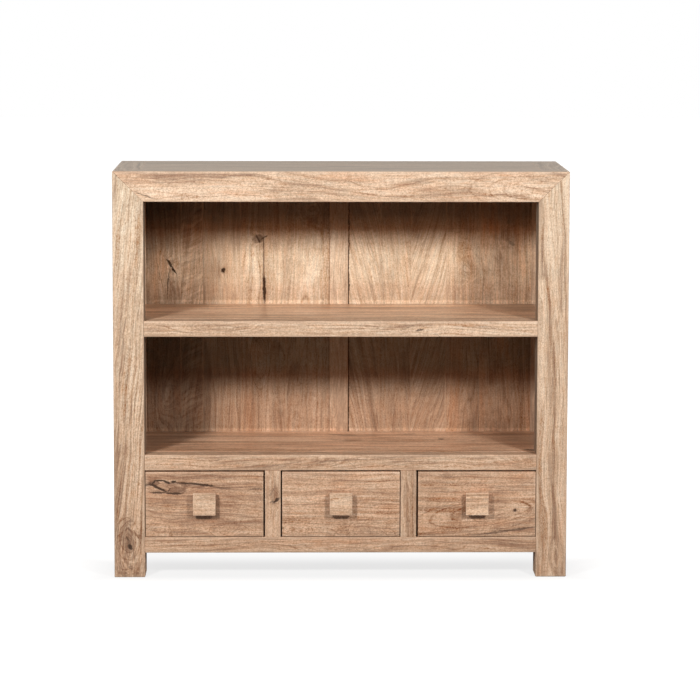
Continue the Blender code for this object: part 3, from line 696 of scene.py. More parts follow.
# the floor's white glow, lowered in a strip below the drawers as a painted shadow
def whiteGlow(tree, where):
    reach = floorSpec["nearReach"]
    nearFeet = node(tree, "ShaderNodeMapping", {"Vector": where, "Scale": (reach, reach, 1.0)},
                    vector_type="TEXTURE")
    nearFeet = node(tree, "ShaderNodeTexGradient", {"Vector": nearFeet}, 1, gradient_type="SPHERICAL")
    outside = span(tree, nearFeet, *floorSpec["nearEdge"], floorSpec["far"], floorSpec["near"], "SMOOTHSTEP")
    place = tree.nodes.new("ShaderNodeSeparateXYZ")
    feed(tree, where, place.inputs[0])
    across = span(tree, calc(tree, "ABSOLUTE", place.outputs[0]), *floorSpec["stripEnds"])
    fromStrip = calc(tree, "SUBTRACT", place.outputs[1], frontFace + floorSpec["stripDepth"])
    along = span(tree, calc(tree, "ABSOLUTE", fromStrip), *floorSpec["stripSides"], 0.0, 1.0, "SMOOTHSTEP")
    level = calc(tree, "SUBTRACT", outside, floorSpec["paintedShadowStrip"])
    level = calc(tree, "MULTIPLY_ADD", level, calc(tree, "MAXIMUM", across, along), floorSpec["paintedShadowStrip"])
    return node(tree, "ShaderNodeEmission", {"Color": (1.0, 1.0, 1.0, 1.0), "Strength": level})


def paleFloor():
    nothingPicked()
    bpy.ops.mesh.primitive_plane_add(size=floorSpec["size"], location=(0, 0, 0))
    floor = bpy.context.object
    floor.name = "floor"
    material, tree = newMaterial("pale_floor")
    where = node(tree, "ShaderNodeTexCoord", {}, 3)
    cloud = calc(tree, "MULTIPLY", noise(tree, where, floorSpec["cloudScale"], 3.0), floorSpec["cloud"])
    colour = blend(tree, cloud, floorSpec["colour"], floorSpec["cloudColour"])
    path = tree.nodes.new("ShaderNodeLightPath")
    seen = calc(tree, "MAXIMUM", path.outputs["Is Camera Ray"], path.outputs["Is Glossy Ray"])
    colour = blend(tree, seen, (floorSpec["bounce"],) * 3, colour)
    matte = node(tree, "ShaderNodeBsdfDiffuse", {"Color": colour})
    share = calc(tree, "MULTIPLY", seen, floorSpec["glow"])
    mixed = node(tree, "ShaderNodeMixShader", {0: share, 1: matte, 2: whiteGlow(tree, where)})
    node(tree, "ShaderNodeOutputMaterial", {"Surface": mixed})
    floor.data.materials.append(material)


paleFloor()
bpy.context.scene.view_settings.view_transform = "Standard"

print("front posts and top frame")
mitreSlope = (1 / postSide, 1 / (height - frameBottom))     # across and up
frontPosts = {
    "arris": 0.0022, "insideMatt": 0.45,
    # painted shade, darker high up in each bay, on the faces that look into the bays: height, tone and
    # redness
    "insidePaintedShade": ((0.0, 1.0, 0.0), (0.086, 1.0, 0.0), (0.092, 0.45, 0.0), (0.26, 0.45, 0.0),
                   (0.39, 0.36, 0.0), (0.53, 0.26, 0.0), (0.56, 0.48, 0.0), (0.70, 0.44, 0.0),
                   (0.80, 0.26, 0.0), (0.831, 0.26, 0.0), (0.835, 1.0, 0.0)),
    "finish": {
        "left": dict(
            heart=(-0.62, -0.12, 0.0), seed=1, taper=0.02, lean=0.10, wander=0.022, warmth=0.22,
            redness=(0.10, -0.24), lines=1.6, streaks=0.9, loopFaint=0.75,
            knots=((-0.4708, 0.0869, 0.031, 0.066, 8.0, 0.080, 0.40),
                   (-0.468, 0.0500, 0.050, 0.060, 0.0, 0.050, 0.0),
                   (-0.478, 0.0100, 0.012, 0.010, 0.0, 0.030, 0.35),
                   (-0.452, 0.0090, 0.013, 0.009, 30.0, 0.030, 0.40),
                   (-0.462, 0.0220, 0.018, 0.007, -10.0, 0.020, 0.35)),
            loops=((-0.4708, 0.0869, 0.0230, 0.0420, 8.0, 0.40),
                   (-0.4700, 0.0850, 0.0340, 0.0600, 6.0, 0.30),
                   (-0.4700, 0.0620, 0.0380, 0.0560, 0.0, 0.30),
                   (-0.4720, 0.0460, 0.0420, 0.0520, 0.0, 0.25)),
            cracks=((-0.4665, 0.0690, 0.0064, 0.0070, 20.0, 0.95),
                    (-0.4630, 0.0650, 0.0050, 0.0034, 30.0, 0.85),
                    (-0.4718, 0.0850, 0.0020, 0.0080, 20.0, 0.65),
                    (-0.4690, 0.0770, 0.0016, 0.016, 20.0, 0.5)),
            shades=((-0.47, 0.86, 0.10, 0.42, 0.0, 0.20), (-0.484, 0.44, 0.013, 0.15, -9.0, -0.55),
                    (-0.455, 0.46, 0.012, 0.10, -12.0, 0.35), (-0.470, 0.285, 0.035, 0.040, 0.0, -0.35),
                    (-0.462, 0.36, 0.009, 0.07, -16.0, -0.35), (-0.495, 0.20, 0.030, 0.24, 0.0, -0.55),
                    (-0.47, 0.08, 0.08, 0.14, 0.0, -0.20), (-0.447, 0.21, 0.016, 0.22, 0.0, 0.45),
                    (-0.470, 0.124, 0.030, 0.012, 0.0, -0.35))),
        "right": dict(
            heart=(0.36, -0.30, 0.0), seed=2.6, taper=0.03, wander=0.020, warmth=0.60, redness=(0.08, -0.16),
            knots=((0.475, 0.045, 0.018, 0.060, 4.0, 0.040, 0.15),),
            shades=((0.47, 0.86, 0.10, 0.30, 0.0, 0.20), (0.482, 0.62, 0.010, 0.16, 0.0, -0.25),
                    (0.478, 0.14, 0.014, 0.24, 0.0, -0.25), (0.458, 0.15, 0.012, 0.20, 0.0, -0.12))),
    },
}


def makeFrontPost(side, sign):
    across, up = mitreSlope
    outer = sign * halfWidth
    ends = sorted((sign * innerX, outer))
    mitres = (((outer, 0.0, height), (-sign * across, 0.0, up)),
              ((outer, 0.0, height), (0.0, across, up)))
    post = board("front_post_" + side, (ends[0], 0.0, 0.0), (ends[1], postSide, height), "z",
                 frontPosts["arris"], mitres=mitres)
    wood = woodFinish("post_wood_" + side, "z", dusk=frontPosts["insidePaintedShade"],
                      inward=((-sign, 0.0, 0.0),),
                      insideMatt=frontPosts["insideMatt"], **frontPosts["finish"][side])
    finishPiece(post, wood, "carcase", ["front_post_" + side])


topFrame = {
    "arris": 0.0022, "rearArris": 0.0018,
    # a painted grey sheen on the upper faces, and their roughness and gloss
    "finishAndPaintedSheen": dict(paintedTopSheen=0.45, roughness=0.58, gloss=0.55),
    "front": dict(
        heart=(0.0, 0.02, 0.78), seed=3, taper=0.02, warmth=0.5, wander=0.024, depth=0.66, lines=1.5,
        streaks=0.9, speckle=0.50, patches=1.7, contours=0.30,
        knots=((0.62, 0.870, 0.42, 0.085, 0.0, 0.04, 0.0), (0.10, 0.862, 0.20, 0.05, 0.0, 0.014, 0.0)),
        cracks=((-0.426, 0.8470, 0.030, 0.0018, -21.0, 0.65),),
        loops=((0.400, 0.862, 0.150, 0.050, 0.0, 0.20), (0.410, 0.860, 0.110, 0.038, 0.0, 0.22),
               (0.415, 0.860, 0.075, 0.026, 0.0, 0.22), (0.420, 0.861, 0.045, 0.016, 0.0, 0.18)),
        shades=((-0.22, 0.892, 0.30, 0.012, -1.0, -0.32), (0.02, 0.884, 0.22, 0.016, 2.0, -0.25),
                (0.17, 0.882, 0.06, 0.008, 12.0, -0.25), (-0.46, 0.862, 0.05, 0.03, -40.0, -0.20))),
    "rear": dict(heart=(0.0, 0.40, 0.70), seed=4),
    "side": {"left": dict(heart=(-0.55, 0.0, 0.75), seed=4), "right": dict(heart=(0.55, 0.0, 0.75), seed=6)},
}
topBoards = {
    "arris": 0.0004,
    "underside": 0.88,
    "end": 0.442,       # they lie in the frame's rebate
    "joints": (0.058, 0.128, 0.214, 0.292),
    "hearts": ((0.0, -0.4, 0.70), (0.0, -0.1, 0.70), (0.0, 0.2, 0.70)), "seed": 7,
}


# the rails of the top are rebated for its panel
def cutRebate(rail, low, high):
    cutAway(rail, at(*low, topBoards["underside"]), at(*high, height + overrun))


def makeTopFrontRail():
    across, up = mitreSlope
    rail = board("top_front_rail", (-halfWidth, 0.0, frameBottom), (halfWidth, postSide, height), "x",
                 topFrame["arris"], mitres=(
                     ((-halfWidth, 0.0, height), (-across, 0.0, -up)),
                     ((halfWidth, 0.0, height), (across, 0.0, -up)),
                     ((-halfWidth, 0.0, height), (-1.0, 1.0, 0.0)),
                     ((halfWidth, 0.0, height), (1.0, 1.0, 0.0))))
    wide, front = halfWidth + overrun, topBoards["joints"][0]
    cutRebate(rail, (-wide, front), (wide, front + overrun))
    wood = woodFinish("top_front_wood", "x", **topFrame["front"], **topFrame["finishAndPaintedSheen"])
    finishPiece(rail, wood, "carcase", ["top_front_rail"])


def makeTopRearRail():
    rail = board("top_rear_rail", (-halfWidth, depth - postSide, frameBottom), (halfWidth, depth, height),
                 "x", topFrame["rearArris"], mitres=(
                     ((-halfWidth, depth, height), (-1.0, -1.0, 0.0)),
                     ((halfWidth, depth, height), (1.0, -1.0, 0.0))))
    wide, rear = halfWidth + overrun, topBoards["joints"][-1]
    cutRebate(rail, (-wide, rear - overrun), (wide, rear))
    wood = woodFinish("top_rear_wood", "x", **topFrame["rear"], **topFrame["finishAndPaintedSheen"])
    finishPiece(rail, wood, "carcase", ["top_rear_rail"])


def makeTopSideRail(side, sign):
    across, up = mitreSlope
    outer = sign * halfWidth
    ends = sorted((sign * innerX, outer))
    rail = board("top_side_rail_" + side, (ends[0], 0.0, frameBottom), (ends[1], depth, height), "y",
                 topFrame["arris"], mitres=(
                     ((outer, 0.0, height), (0.0, -across, -up)),
                     ((outer, 0.0, height), (-sign, -1.0, 0.0)),
                     ((outer, depth, height), (-sign, 1.0, 0.0))))
    inner = sorted((sign * (topBoards["end"] - overrun), sign * topBoards["end"]))
    cutRebate(rail, (inner[0], -overrun), (inner[1], depth + overrun))
    wood = woodFinish("side_rail_wood_" + side, "y", **topFrame["side"][side], **topFrame["finishAndPaintedSheen"])
    finishPiece(rail, wood, "carcase", ["top_side_rail_" + side])


def makeTopPanel():
    joints, end = topBoards["joints"], topBoards["end"]
    boards = []
    for i, (start, stop) in enumerate(zip(joints, joints[1:])):
        part = board("top_board", (-end, start, topBoards["underside"]), (end, stop, height), "x",
                     topBoards["arris"])
        heart, seed = topBoards["hearts"][i], topBoards["seed"] + i
        wood = woodFinish("top_board_wood_%d" % i, "x", heart, seed, **topFrame["finishAndPaintedSheen"])
        boards.append(paint(part, wood))
    finishPiece(joinBoards("top_panel", boards), None, "carcase", ["top_panel"])


for side, sign in bothSides:
    makeFrontPost(side, sign)
makeTopFrontRail()
makeTopRearRail()
for side, sign in bothSides:
    makeTopSideRail(side, sign)
makeTopPanel()

print("back, sides and rear posts")
# painted shade of the back, darker high up in each bay, with a pale line where it meets the shelf: height,
# tone and redness
bayPaintedShade = ((0.27, 0.95, 0.15), (0.279, 0.95, 0.15), (0.282, 0.70, 0.18), (0.327, 0.68, 0.18),
              (0.355, 0.61, 0.12), (0.383, 0.54, 0.05), (0.405, 0.51, 0.02), (0.43, 0.45, -0.40),
              (0.50, 0.43, -0.40), (0.54, 0.40, -0.40), (0.575, 1.20, -0.15), (0.578, 1.20, -0.15),
              (0.581, 0.90, -0.08), (0.608, 0.96, -0.10), (0.63, 1.06, -0.24), (0.68, 1.09, -0.26),
              (0.735, 0.87, -0.12), (0.748, 0.73, -0.08), (0.762, 0.53, -0.12), (0.776, 0.36, -0.16),
              (0.79, 0.30, -0.16), (0.83, 0.30, -0.16))
# the muntin stands in front and gets less painted shade, least in the lower bay; the sides get less of it too
muntinPaintedShade = tuple((level, tone * (1.10 if level < 0.55 else 1.02), redness)
                   for level, tone, redness in bayPaintedShade)
sidePaintedShade = tuple((level, 0.4 + 0.6 * tone, 0.0) for level, tone, redness in bayPaintedShade)

uprights = {
    "arris": 0.0006, "band": 0.003,
    "heartBehind": 0.1,
    "heartSway": (0.05, 3.0), "toneSway": (0.05, 2.1),      # amount, and pace from board to board
    "seedStep": 0.7,
    "finish": dict(gloss=0.15, roughness=0.7, lines=1.1, streaks=0.8, fibre=0.9, speckle=0.36, pores=0.16,
                   contours=0.3, edgeWearAndHighlight=0.0, dusk=bayPaintedShade, inwardFrom=(0.05, 0.35)),
}


def sway(amount, pace, i, seed):
    return amount * math.sin(pace * i + seed)


# boards side by side, joined along x as in the back, or along y as in the sides
def uprightBoards(name, joints, heights, thick, seed, changes, acrossIsX=True):
    low, high = heights
    boards = []
    for i, (start, end) in enumerate(zip(joints, joints[1:])):
        middle = (start + end) / 2
        if acrossIsX:
            corners = (start, thick[0], low), (end, thick[1], high)
            heart = (middle + sway(*uprights["heartSway"], i, seed),
                     frontFace + thick[0] - uprights["heartBehind"], 0.0)
        else:
            corners = (thick[0], start, low), (thick[1], end, high)
            heart = (thick[0] + uprights["heartBehind"], frontFace + middle, 0.0)
        part = board(name + "_board", *corners, "z", uprights["arris"], band=uprights["band"])
        spec = dict(heart=heart, seed=seed + i * uprights["seedStep"],
                    tone=1.0 + sway(*uprights["toneSway"], i, seed))
        spec.update(uprights["finish"])
        spec.update(changes[i])
        boards.append(paint(part, woodFinish("%s_wood_%d" % (name, i), "z", **spec)))
    return joinBoards(name, boards)


# painted shadows in the corners that the posts and the rails shade most
cornerPaintedShadows = ((-0.46, 0.34, 0.20, 0.34, 0.0, 0.42), (-0.46, 0.80, 0.14, 0.17, 0.0, 0.50))
backMarks = {
    "left": {
        0: dict(tone=1.10, lean=-0.04, depth=0.42, warmth=0.5, paintedShadows=cornerPaintedShadows,
                cracks=((-0.3900, 0.6630, 0.016, 0.0034, -62.0, 0.90),
                        (-0.3800, 0.6470, 0.012, 0.0030, -48.0, 0.95),
                        (-0.3935, 0.615, 0.045, 0.0020, 85.0, 0.6),
                        (-0.412, 0.635, 0.04, 0.0016, -78.0, 0.45)),
                knots=((-0.3900, 0.6500, 0.030, 0.060, 20.0, 0.03, 0.0),
                       (-0.40, 0.36, 0.05, 0.16, -10.0, 0.05, 0.0)),
                shades=((-0.41, 0.60, 0.05, 0.06, 0.0, 0.30), (-0.386, 0.600, 0.012, 0.060, 0.0, -0.40),
                        (-0.396, 0.371, 0.007, 0.080, -17.6, 0.9))),
        1: dict(tone=1.14, depth=0.50, warmth=0.1, ripple=0.42, rippleLean=0.58, lean=0.10, streaks=0.5,
                lines=0.8, paintedShadows=cornerPaintedShadows),
        2: dict(tone=0.94, depth=0.55, knots=((-0.2670, 0.6492, 0.020, 0.030, 0.0, 0.014, 0.0),), warmth=0.3,
                cracks=((-0.2670, 0.6492, 0.0062, 0.0070, 0.0, 1.0),), paintedShadows=cornerPaintedShadows,
                shades=((-0.2670, 0.6492, 0.016, 0.020, 0.0, -0.5), (-0.236, 0.62, 0.006, 0.10, 4.0, 0.5))),
        3: dict(tone=0.98, depth=0.58, warmth=0.45,
                knots=((-0.186, 0.721, 0.030, 0.020, 0.0, 0.03, 0.55),
                       (-0.181, 0.440, 0.030, 0.085, 0.0, 0.030, 0.0)),
                cracks=((-0.1735, 0.6800, 0.060, 0.0018, 88.0, 0.65),
                        (-0.1725, 0.6080, 0.040, 0.0048, 90.0, 0.98),
                        (-0.186, 0.722, 0.014, 0.0026, -60.0, 0.75),
                        (-0.171, 0.724, 0.012, 0.0022, 35.0, 0.7)),
                shades=((-0.14, 0.64, 0.03, 0.10, 0.0, 0.3), (-0.175, 0.42, 0.06, 0.08, 0.0, 0.30)),
                loops=((-0.181, 0.440, 0.030, 0.085, 0.0, 0.22), (-0.181, 0.445, 0.019, 0.060, 0.0, 0.22))),
        4: dict(tone=0.97, depth=0.64, warmth=0.3, lean=0.06,
                shades=((-0.072, 0.625, 0.024, 0.07, -35.0, 0.55), (-0.05, 0.70, 0.05, 0.03, 0.0, -0.2),
                        (-0.06, 0.765, 0.05, 0.05, 0.0, -0.3), (-0.068, 0.43, 0.07, 0.10, 0.0, 0.35)),
                knots=((-0.062, 0.79, 0.060, 0.060, 0.0, 0.03, 0.0),)),
    },
    "right": {
        0: dict(tone=0.98, depth=0.62, warmth=0.5, lean=-0.22,
                cracks=((0.0230, 0.50, 0.42, 0.0024, 90.0, 0.85),),
                shades=((0.050, 0.64, 0.012, 0.10, 12.0, 0.4), (0.070, 0.62, 0.010, 0.10, 14.0, -0.35))),
        1: dict(tone=0.97, depth=0.62, warmth=0.4, lean=-0.08),
        2: dict(tone=0.98, depth=0.62, warmth=0.15, lean=0.30, lines=0.8, streaks=0.6,
                shades=((0.21, 0.64, 0.03, 0.10, 0.0, 0.25), (0.18, 0.73, 0.03, 0.06, 0.0, -0.3))),
        3: dict(tone=1.12, depth=0.52, warmth=0.75, lines=0.7, streaks=0.4,
                shades=((0.298, 0.652, 0.020, 0.030, 0.0, -0.3),),
                knots=((0.300, 0.650, 0.036, 0.050, 20.0, 0.020, 0.10),),
                loops=((0.298, 0.640, 0.045, 0.080, 10.0, 0.10), (0.300, 0.646, 0.030, 0.050, 10.0, 0.10))),
        4: dict(tone=1.18, depth=0.44, warmth=0.75, lines=0.8, streaks=0.5,
                knots=((0.385, 0.73, 0.025, 0.03, 0.0, 0.03, 0.2),),
                cracks=((0.3985, 0.712, 0.010, 0.0050, -40.0, 0.45),)),
    },
}


backPanels = {
    "heights": (0.107, 0.841), "thick": (0.337, 0.345),
    "seeds": {"left": 11, "right": 17},
    "joints": {"left": (-0.452, -0.364, -0.313, -0.227, -0.123, -0.013),
               "right": (0.013, 0.094, 0.1664, 0.2472, 0.3257, 0.452)},
}


def makeBackPanel(side):
    name = "back_panel_" + side
    panel = uprightBoards(name, backPanels["joints"][side], backPanels["heights"], backPanels["thick"],
                          backPanels["seeds"][side], backMarks[side])
    finishPiece(panel, None, "carcase", [name])


backFrame = {
    "muntinArris": 0.001, "railArris": 0.0012, "postArris": 0.0015,
    "muntin": dict(heart=(0.05, 0.0, 0.0), seed=23, gloss=0.15, lines=1.1, streaks=0.8, edgeWearAndHighlight=0.1,
                   dusk=muntinPaintedShade),
    "rail": dict(heart=(0.0, 0.1, 0.2), seed=24),
    "post": dict(heart=(0.3, 0.3, 0.0), dusk=bayPaintedShade, insideMatt=0.30),
    "postSeeds": {"left": 25.0, "right": 26.0},
}


def makeMuntin():
    muntin = joinersCopy("back_muntin", "back_muntin", backFrame["muntinArris"])
    wood = woodFinish("muntin_wood", "z", **backFrame["muntin"])
    finishPiece(muntin, wood, "carcase", ["back_muntin"])


def makeRearBottomRail():
    rail = joinersCopy("rear_bottom_rail", "rear_bottom_rail", backFrame["railArris"])
    wood = woodFinish("rear_rail_wood", "x", **backFrame["rail"])
    finishPiece(rail, wood, "carcase", ["rear_bottom_rail"])


def makeRearPost(side, sign):
    post = joinersCopy("rear_post_" + side, "rear_post_" + side, backFrame["postArris"])
    wood = woodFinish("rear_post_wood_" + side, "z", seed=backFrame["postSeeds"][side],
                      inward=((0.0, -1.0, 0.0), (-sign, 0.0, 0.0)), **backFrame["post"])
    finishPiece(post, wood, "carcase", ["rear_post_" + side])


sideFrame = {
    "thick": (0.472, 0.488), "heights": (0.080, 0.843), "joints": (0.058, 0.150, 0.292),
    "seed": 30, "insideMatt": 0.30,
    "railArris": 0.0018, "railHeart": (0.3, 0.0, -0.1), "railSeed": 33,
}


def makeSidePanel(side, sign):
    thick = sorted(sign * x for x in sideFrame["thick"])
    looksIn = dict(dusk=sidePaintedShade, inward=((-sign, 0.0, 0.0),), insideMatt=sideFrame["insideMatt"])
    panel = uprightBoards("side_panel_" + side, sideFrame["joints"], sideFrame["heights"], thick,
                          sideFrame["seed"] + sign, (looksIn, looksIn), acrossIsX=False)
    finishPiece(panel, None, "carcase", ["side_panel_" + side])


def makeSideBottomRail(side, sign):
    ends = sorted((sign * (halfWidth - rearPostSide), sign * halfWidth))
    rail = board("side_bottom_rail_" + side, (ends[0], postSide, footHeight),
                 (ends[1], rearPostFront, baseTop), "y", sideFrame["railArris"], butts=("low", "high"))
    wood = woodFinish("side_bottom_wood_" + side, "y", sideFrame["railHeart"],
                      sideFrame["railSeed"] + sign)
    finishPiece(rail, wood, "carcase", ["side_bottom_rail_" + side])


for side in backMarks:
    makeBackPanel(side)
makeMuntin()
makeRearBottomRail()
for side, sign in bothSides:
    makeRearPost(side, sign)
for side, sign in bothSides:
    makeSidePanel(side, sign)
    makeSideBottomRail(side, sign)

print("shelf, deck and front rails")
railMarks = {
    "shelf": dict(
        taper=0.02, wander=0.016, warmth=0.35, depth=0.68,
        knots=((-0.265, 0.556, 0.115, 0.018, 0.0, 0.030, 0.0), (0.10, 0.545, 0.16, 0.016, 4.0, 0.025, 0.0)),
        cracks=((0.1735, 0.5515, 0.010, 0.0016, 8.0, 0.8), (0.215, 0.5395, 0.012, 0.0012, -30.0, 0.6),
                (0.145, 0.556, 0.02, 0.001, 20.0, 0.4)),
        shades=((-0.41, 0.553, 0.08, 0.03, 0.0, -0.20), (0.15, 0.560, 0.12, 0.010, 6.0, -0.30),
                (-0.28, 0.553, 0.26, 0.08, 0.0, -0.32), (0.30, 0.553, 0.24, 0.08, 0.0, 0.26))),
    "deck": dict(
        taper=0.03, lean=0.05, wander=0.020, warmth=0.35, depth=0.52, redness=(0.06, 0.06),
        knots=((-0.09, 0.245, 0.14, 0.022, 8.0, 0.030, 0.0), (0.39, 0.262, 0.07, 0.02, -20.0, 0.03, 0.0)),
        cracks=((-0.13, 0.2535, 0.06, 0.0012, 8.0, 0.35), (0.03, 0.247, 0.03, 0.001, -40.0, 0.3)),
        shades=((-0.08, 0.256, 0.10, 0.008, 9.0, -0.35), (0.41, 0.262, 0.06, 0.012, 30.0, -0.45),
                (-0.41, 0.258, 0.10, 0.02, 0.0, 0.25), (0.34, 0.268, 0.04, 0.006, -20.0, 0.5),
                (-0.28, 0.256, 0.24, 0.08, 0.0, -0.22), (0.28, 0.256, 0.24, 0.08, 0.0, 0.18))),
}


levelSpec = {
    "railArris": 0.0024, "boardArris": 0.0004,
    "end": 0.4717,              # the boards reach the side panels
    "heartDown": 0.12, "heartBack": 0.03, "heartStep": 0.08,
    "railHeartDepth": 0.05, "railHeartDown": 0.1,
    "finish": dict(roughness=0.32, gloss=0.6, edgeWearAndHighlight=0.1, inward=((0.0, 0.0, 1.0),),
                   streakScale=(1.4, 36.0), rings=34.0, streaks=1.8),
}
# painted shadows at the ends, seen from above, so the marks are placed by x and y
shelfPaintedShadows = ((0.47, 0.13, 0.16, 0.16, 0.0, 0.40), (-0.47, 0.15, 0.14, 0.10, 0.0, 0.20))
deckPaintedShadows = ((-0.50, 0.16, 0.24, 0.30, 0.0, 0.42), (0.49, 0.13, 0.16, 0.22, 0.0, 0.28))
levelBoards = {
    "shelf": {
        "rail": (0.536, 0.571), "underside": 0.551, "seed": 40,
        "joints": (0.0453, 0.132, 0.225, 0.3317),
        "finish": (
            dict(tone=1.32, warmth=0.4, paintedShadows=shelfPaintedShadows),
            dict(tone=1.34, warmth=0.5, depth=0.66, paintedShadows=shelfPaintedShadows,
                 shades=((0.25, 0.03, 0.12, 0.02, 0.0, -0.4),)),
            dict(tone=1.34, warmth=0.5, paintedShadows=shelfPaintedShadows,
                 shades=((0.30, 0.12, 0.16, 0.03, 8.0, -0.5), (-0.05, 0.14, 0.2, 0.02, 0.0, -0.25))),
        )},
    "deck": {
        "rail": (deckBottom, 0.274), "underside": 0.256, "seed": 44,
        "joints": (0.0453, 0.164, 0.250, 0.3317),
        "finish": (
            dict(tone=1.20, warmth=0.8, lines=2.4, patches=1.8, redness=(0.18, 0.18), paintedShadows=deckPaintedShadows,
                 cracks=((0.424, -0.100, 0.020, 0.010, -25.0, 0.85), (-0.10, -0.02, 0.09, 0.003, 3.0, 0.4))),
            dict(tone=1.17, warmth=0.3, lines=2.4, patches=1.8, redness=(0.10, 0.10), paintedShadows=deckPaintedShadows,
                 cracks=((0.232, 0.0535, 0.008, 0.010, 0.0, 0.8), (0.02, 0.035, 0.06, 0.004, -12.0, 0.6),
                         (0.10, 0.02, 0.05, 0.003, 6.0, 0.5))),
            dict(tone=1.17, warmth=0.3, lines=2.4, patches=1.8, redness=(0.10, 0.10), paintedShadows=deckPaintedShadows,
                 cracks=((0.155, 0.1263, 0.030, 0.009, 4.0, 0.5), (0.01, 0.1122, 0.040, 0.010, -8.0, 0.55),
                         (0.30, 0.145, 0.06, 0.006, 0.0, 0.4)),
                 shades=((0.37, 0.12, 0.12, 0.06, 0.0, -0.4),)),
        )},
}


def makeLevelRail(name, spec):
    low, high = spec["rail"]
    rail = board(name + "_front_rail", (-innerX, 0.0, low), (innerX, railDepth, high), "x",
                 levelSpec["railArris"], butts=("low", "high"))
    heart = (0.0, levelSpec["railHeartDepth"], low - levelSpec["railHeartDown"])
    wood = woodFinish(name + "_rail_wood", "x", heart, spec["seed"], **railMarks[name])
    finishPiece(rail, wood, "carcase", [name + "_front_rail"])


def makeLevelBoard(name, spec):
    reach, high, joints = levelSpec["end"], spec["rail"][1], spec["joints"]
    boards = []
    for i, (start, end) in enumerate(zip(joints, joints[1:])):
        part = board(name + "_board", (-reach, start, spec["underside"]), (reach, end, high), "x",
                     levelSpec["boardArris"])
        heartDepth = start - levelSpec["heartBack"] + levelSpec["heartStep"] * i
        heart = (0.0, frontFace + heartDepth, high - levelSpec["heartDown"])
        wood = woodFinish("%s_board_wood_%d" % (name, i), "x", heart, spec["seed"] + 1 + i, "top",
                          **{**levelSpec["finish"], **spec["finish"][i]})
        boards.append(paint(part, wood))
    finishPiece(joinBoards(name + "_board", boards), None, "carcase", [name + "_board"])


bottomRail = {
    "arris": 0.0020,
    "finish": dict(
        heart=(0.0, 0.0, -0.1), seed=50, taper=0.05, lean=0.06, wander=0.02, depth=0.46, warmth=0.45,
        redness=(0.14, 0.14),
        knots=((0.02, 0.06, 0.2, 0.02, 0.0, 0.03, 0.0),),
        shades=((-0.38, 0.075, 0.09, 0.008, 14.0, -0.30), (0.38, 0.072, 0.13, 0.014, -12.0, -0.45),
                (0.17, 0.078, 0.08, 0.01, 5.0, 0.2), (0.0, 0.056, 0.5, 0.004, 0.0, -0.3),
                (0.30, 0.072, 0.24, 0.08, 0.0, -0.12), (0.0, 0.072, 0.16, 0.08, 0.0, 0.10))),
}


def makeBottomRail():
    rail = board("bottom_front_rail", (-innerX, 0.0, footHeight), (innerX, railDepth, baseTop), "x",
                 bottomRail["arris"], butts=("low", "high"))
    wood = woodFinish("bottom_rail_wood", "x", **bottomRail["finish"])
    finishPiece(rail, wood, "carcase", ["bottom_front_rail"])


dividers = {
    "edges": (0.1323, 0.1673), "arris": 0.0016, "seeds": {"left": 50, "right": 52},
    "finish": dict(heart=(0.1, 0.1, 0.0), wander=0.014, redness=(0.08, 0.08)),
    "marks": {
        "left": dict(
            knots=((-0.1428, 0.1800, 0.030, 0.040, 30.0, 0.050, 0.0),
                   (-0.155, 0.215, 0.020, 0.03, 0.0, 0.03, 0.0)),
            cracks=((-0.1415, 0.1720, 0.0120, 0.0036, 38.0, 0.95),
                    (-0.1385, 0.1750, 0.0052, 0.0044, 0.0, 0.90),
                    (-0.1490, 0.1690, 0.0100, 0.0020, 15.0, 0.65), (-0.152, 0.190, 0.014, 0.0022, 60.0, 0.4)),
            shades=((-0.142, 0.190, 0.024, 0.045, 0.0, -0.75), (-0.15, 0.11, 0.03, 0.06, 0.0, 0.35))),
        "right": dict(depth=0.42, shades=((0.150, 0.12, 0.006, 0.08, 0.0, -0.3),)),
    },
}


def makeDivider(side, sign):
    ends = sorted(sign * x for x in dividers["edges"])
    piece = board("drawer_divider_" + side, (ends[0], 0.0, baseTop), (ends[1], railDepth, deckBottom),
                  "z", dividers["arris"], butts=("low", "high"))
    wood = woodFinish("divider_wood_" + side, "z", seed=dividers["seeds"][side], **dividers["finish"],
                      **dividers["marks"][side])
    finishPiece(piece, wood, "carcase", ["drawer_divider_" + side])


for name, spec in levelBoards.items():
    makeLevelRail(name, spec)
    makeLevelBoard(name, spec)
makeBottomRail()
for side, sign in bothSides:
    makeDivider(side, sign)

print("drawers")
drawerSpec = {
    "middles": {"left": -0.300702, "middle": 0.000575, "right": 0.301047},
    "seeds": {"left": 60, "middle": 65, "right": 70},
    "width": 0.260067, "heights": (0.0913, 0.236), "thick": 0.020,
    "frontArris": 0.0011, "boxArris": 0.0005, "boxWarmth": 0.2,
    "finish": dict(redness=(0.15, 0.15), edgeWearAndHighlight=0.1, lines=1.5, streaks=0.8, fibre=1.3, speckle=0.52,
                   loopFaint=0.75),
}
knob = {
    "height": 0.16665, "side": 0.050, "thick": 0.008, "neck": 0.026, "face": -0.018, "gap": 0.0003,
    "arris": 0.0009, "segments": 3, "band": 0.002,
    "tones": {"left": 1.04, "middle": 1.06, "right": 1.24},
}


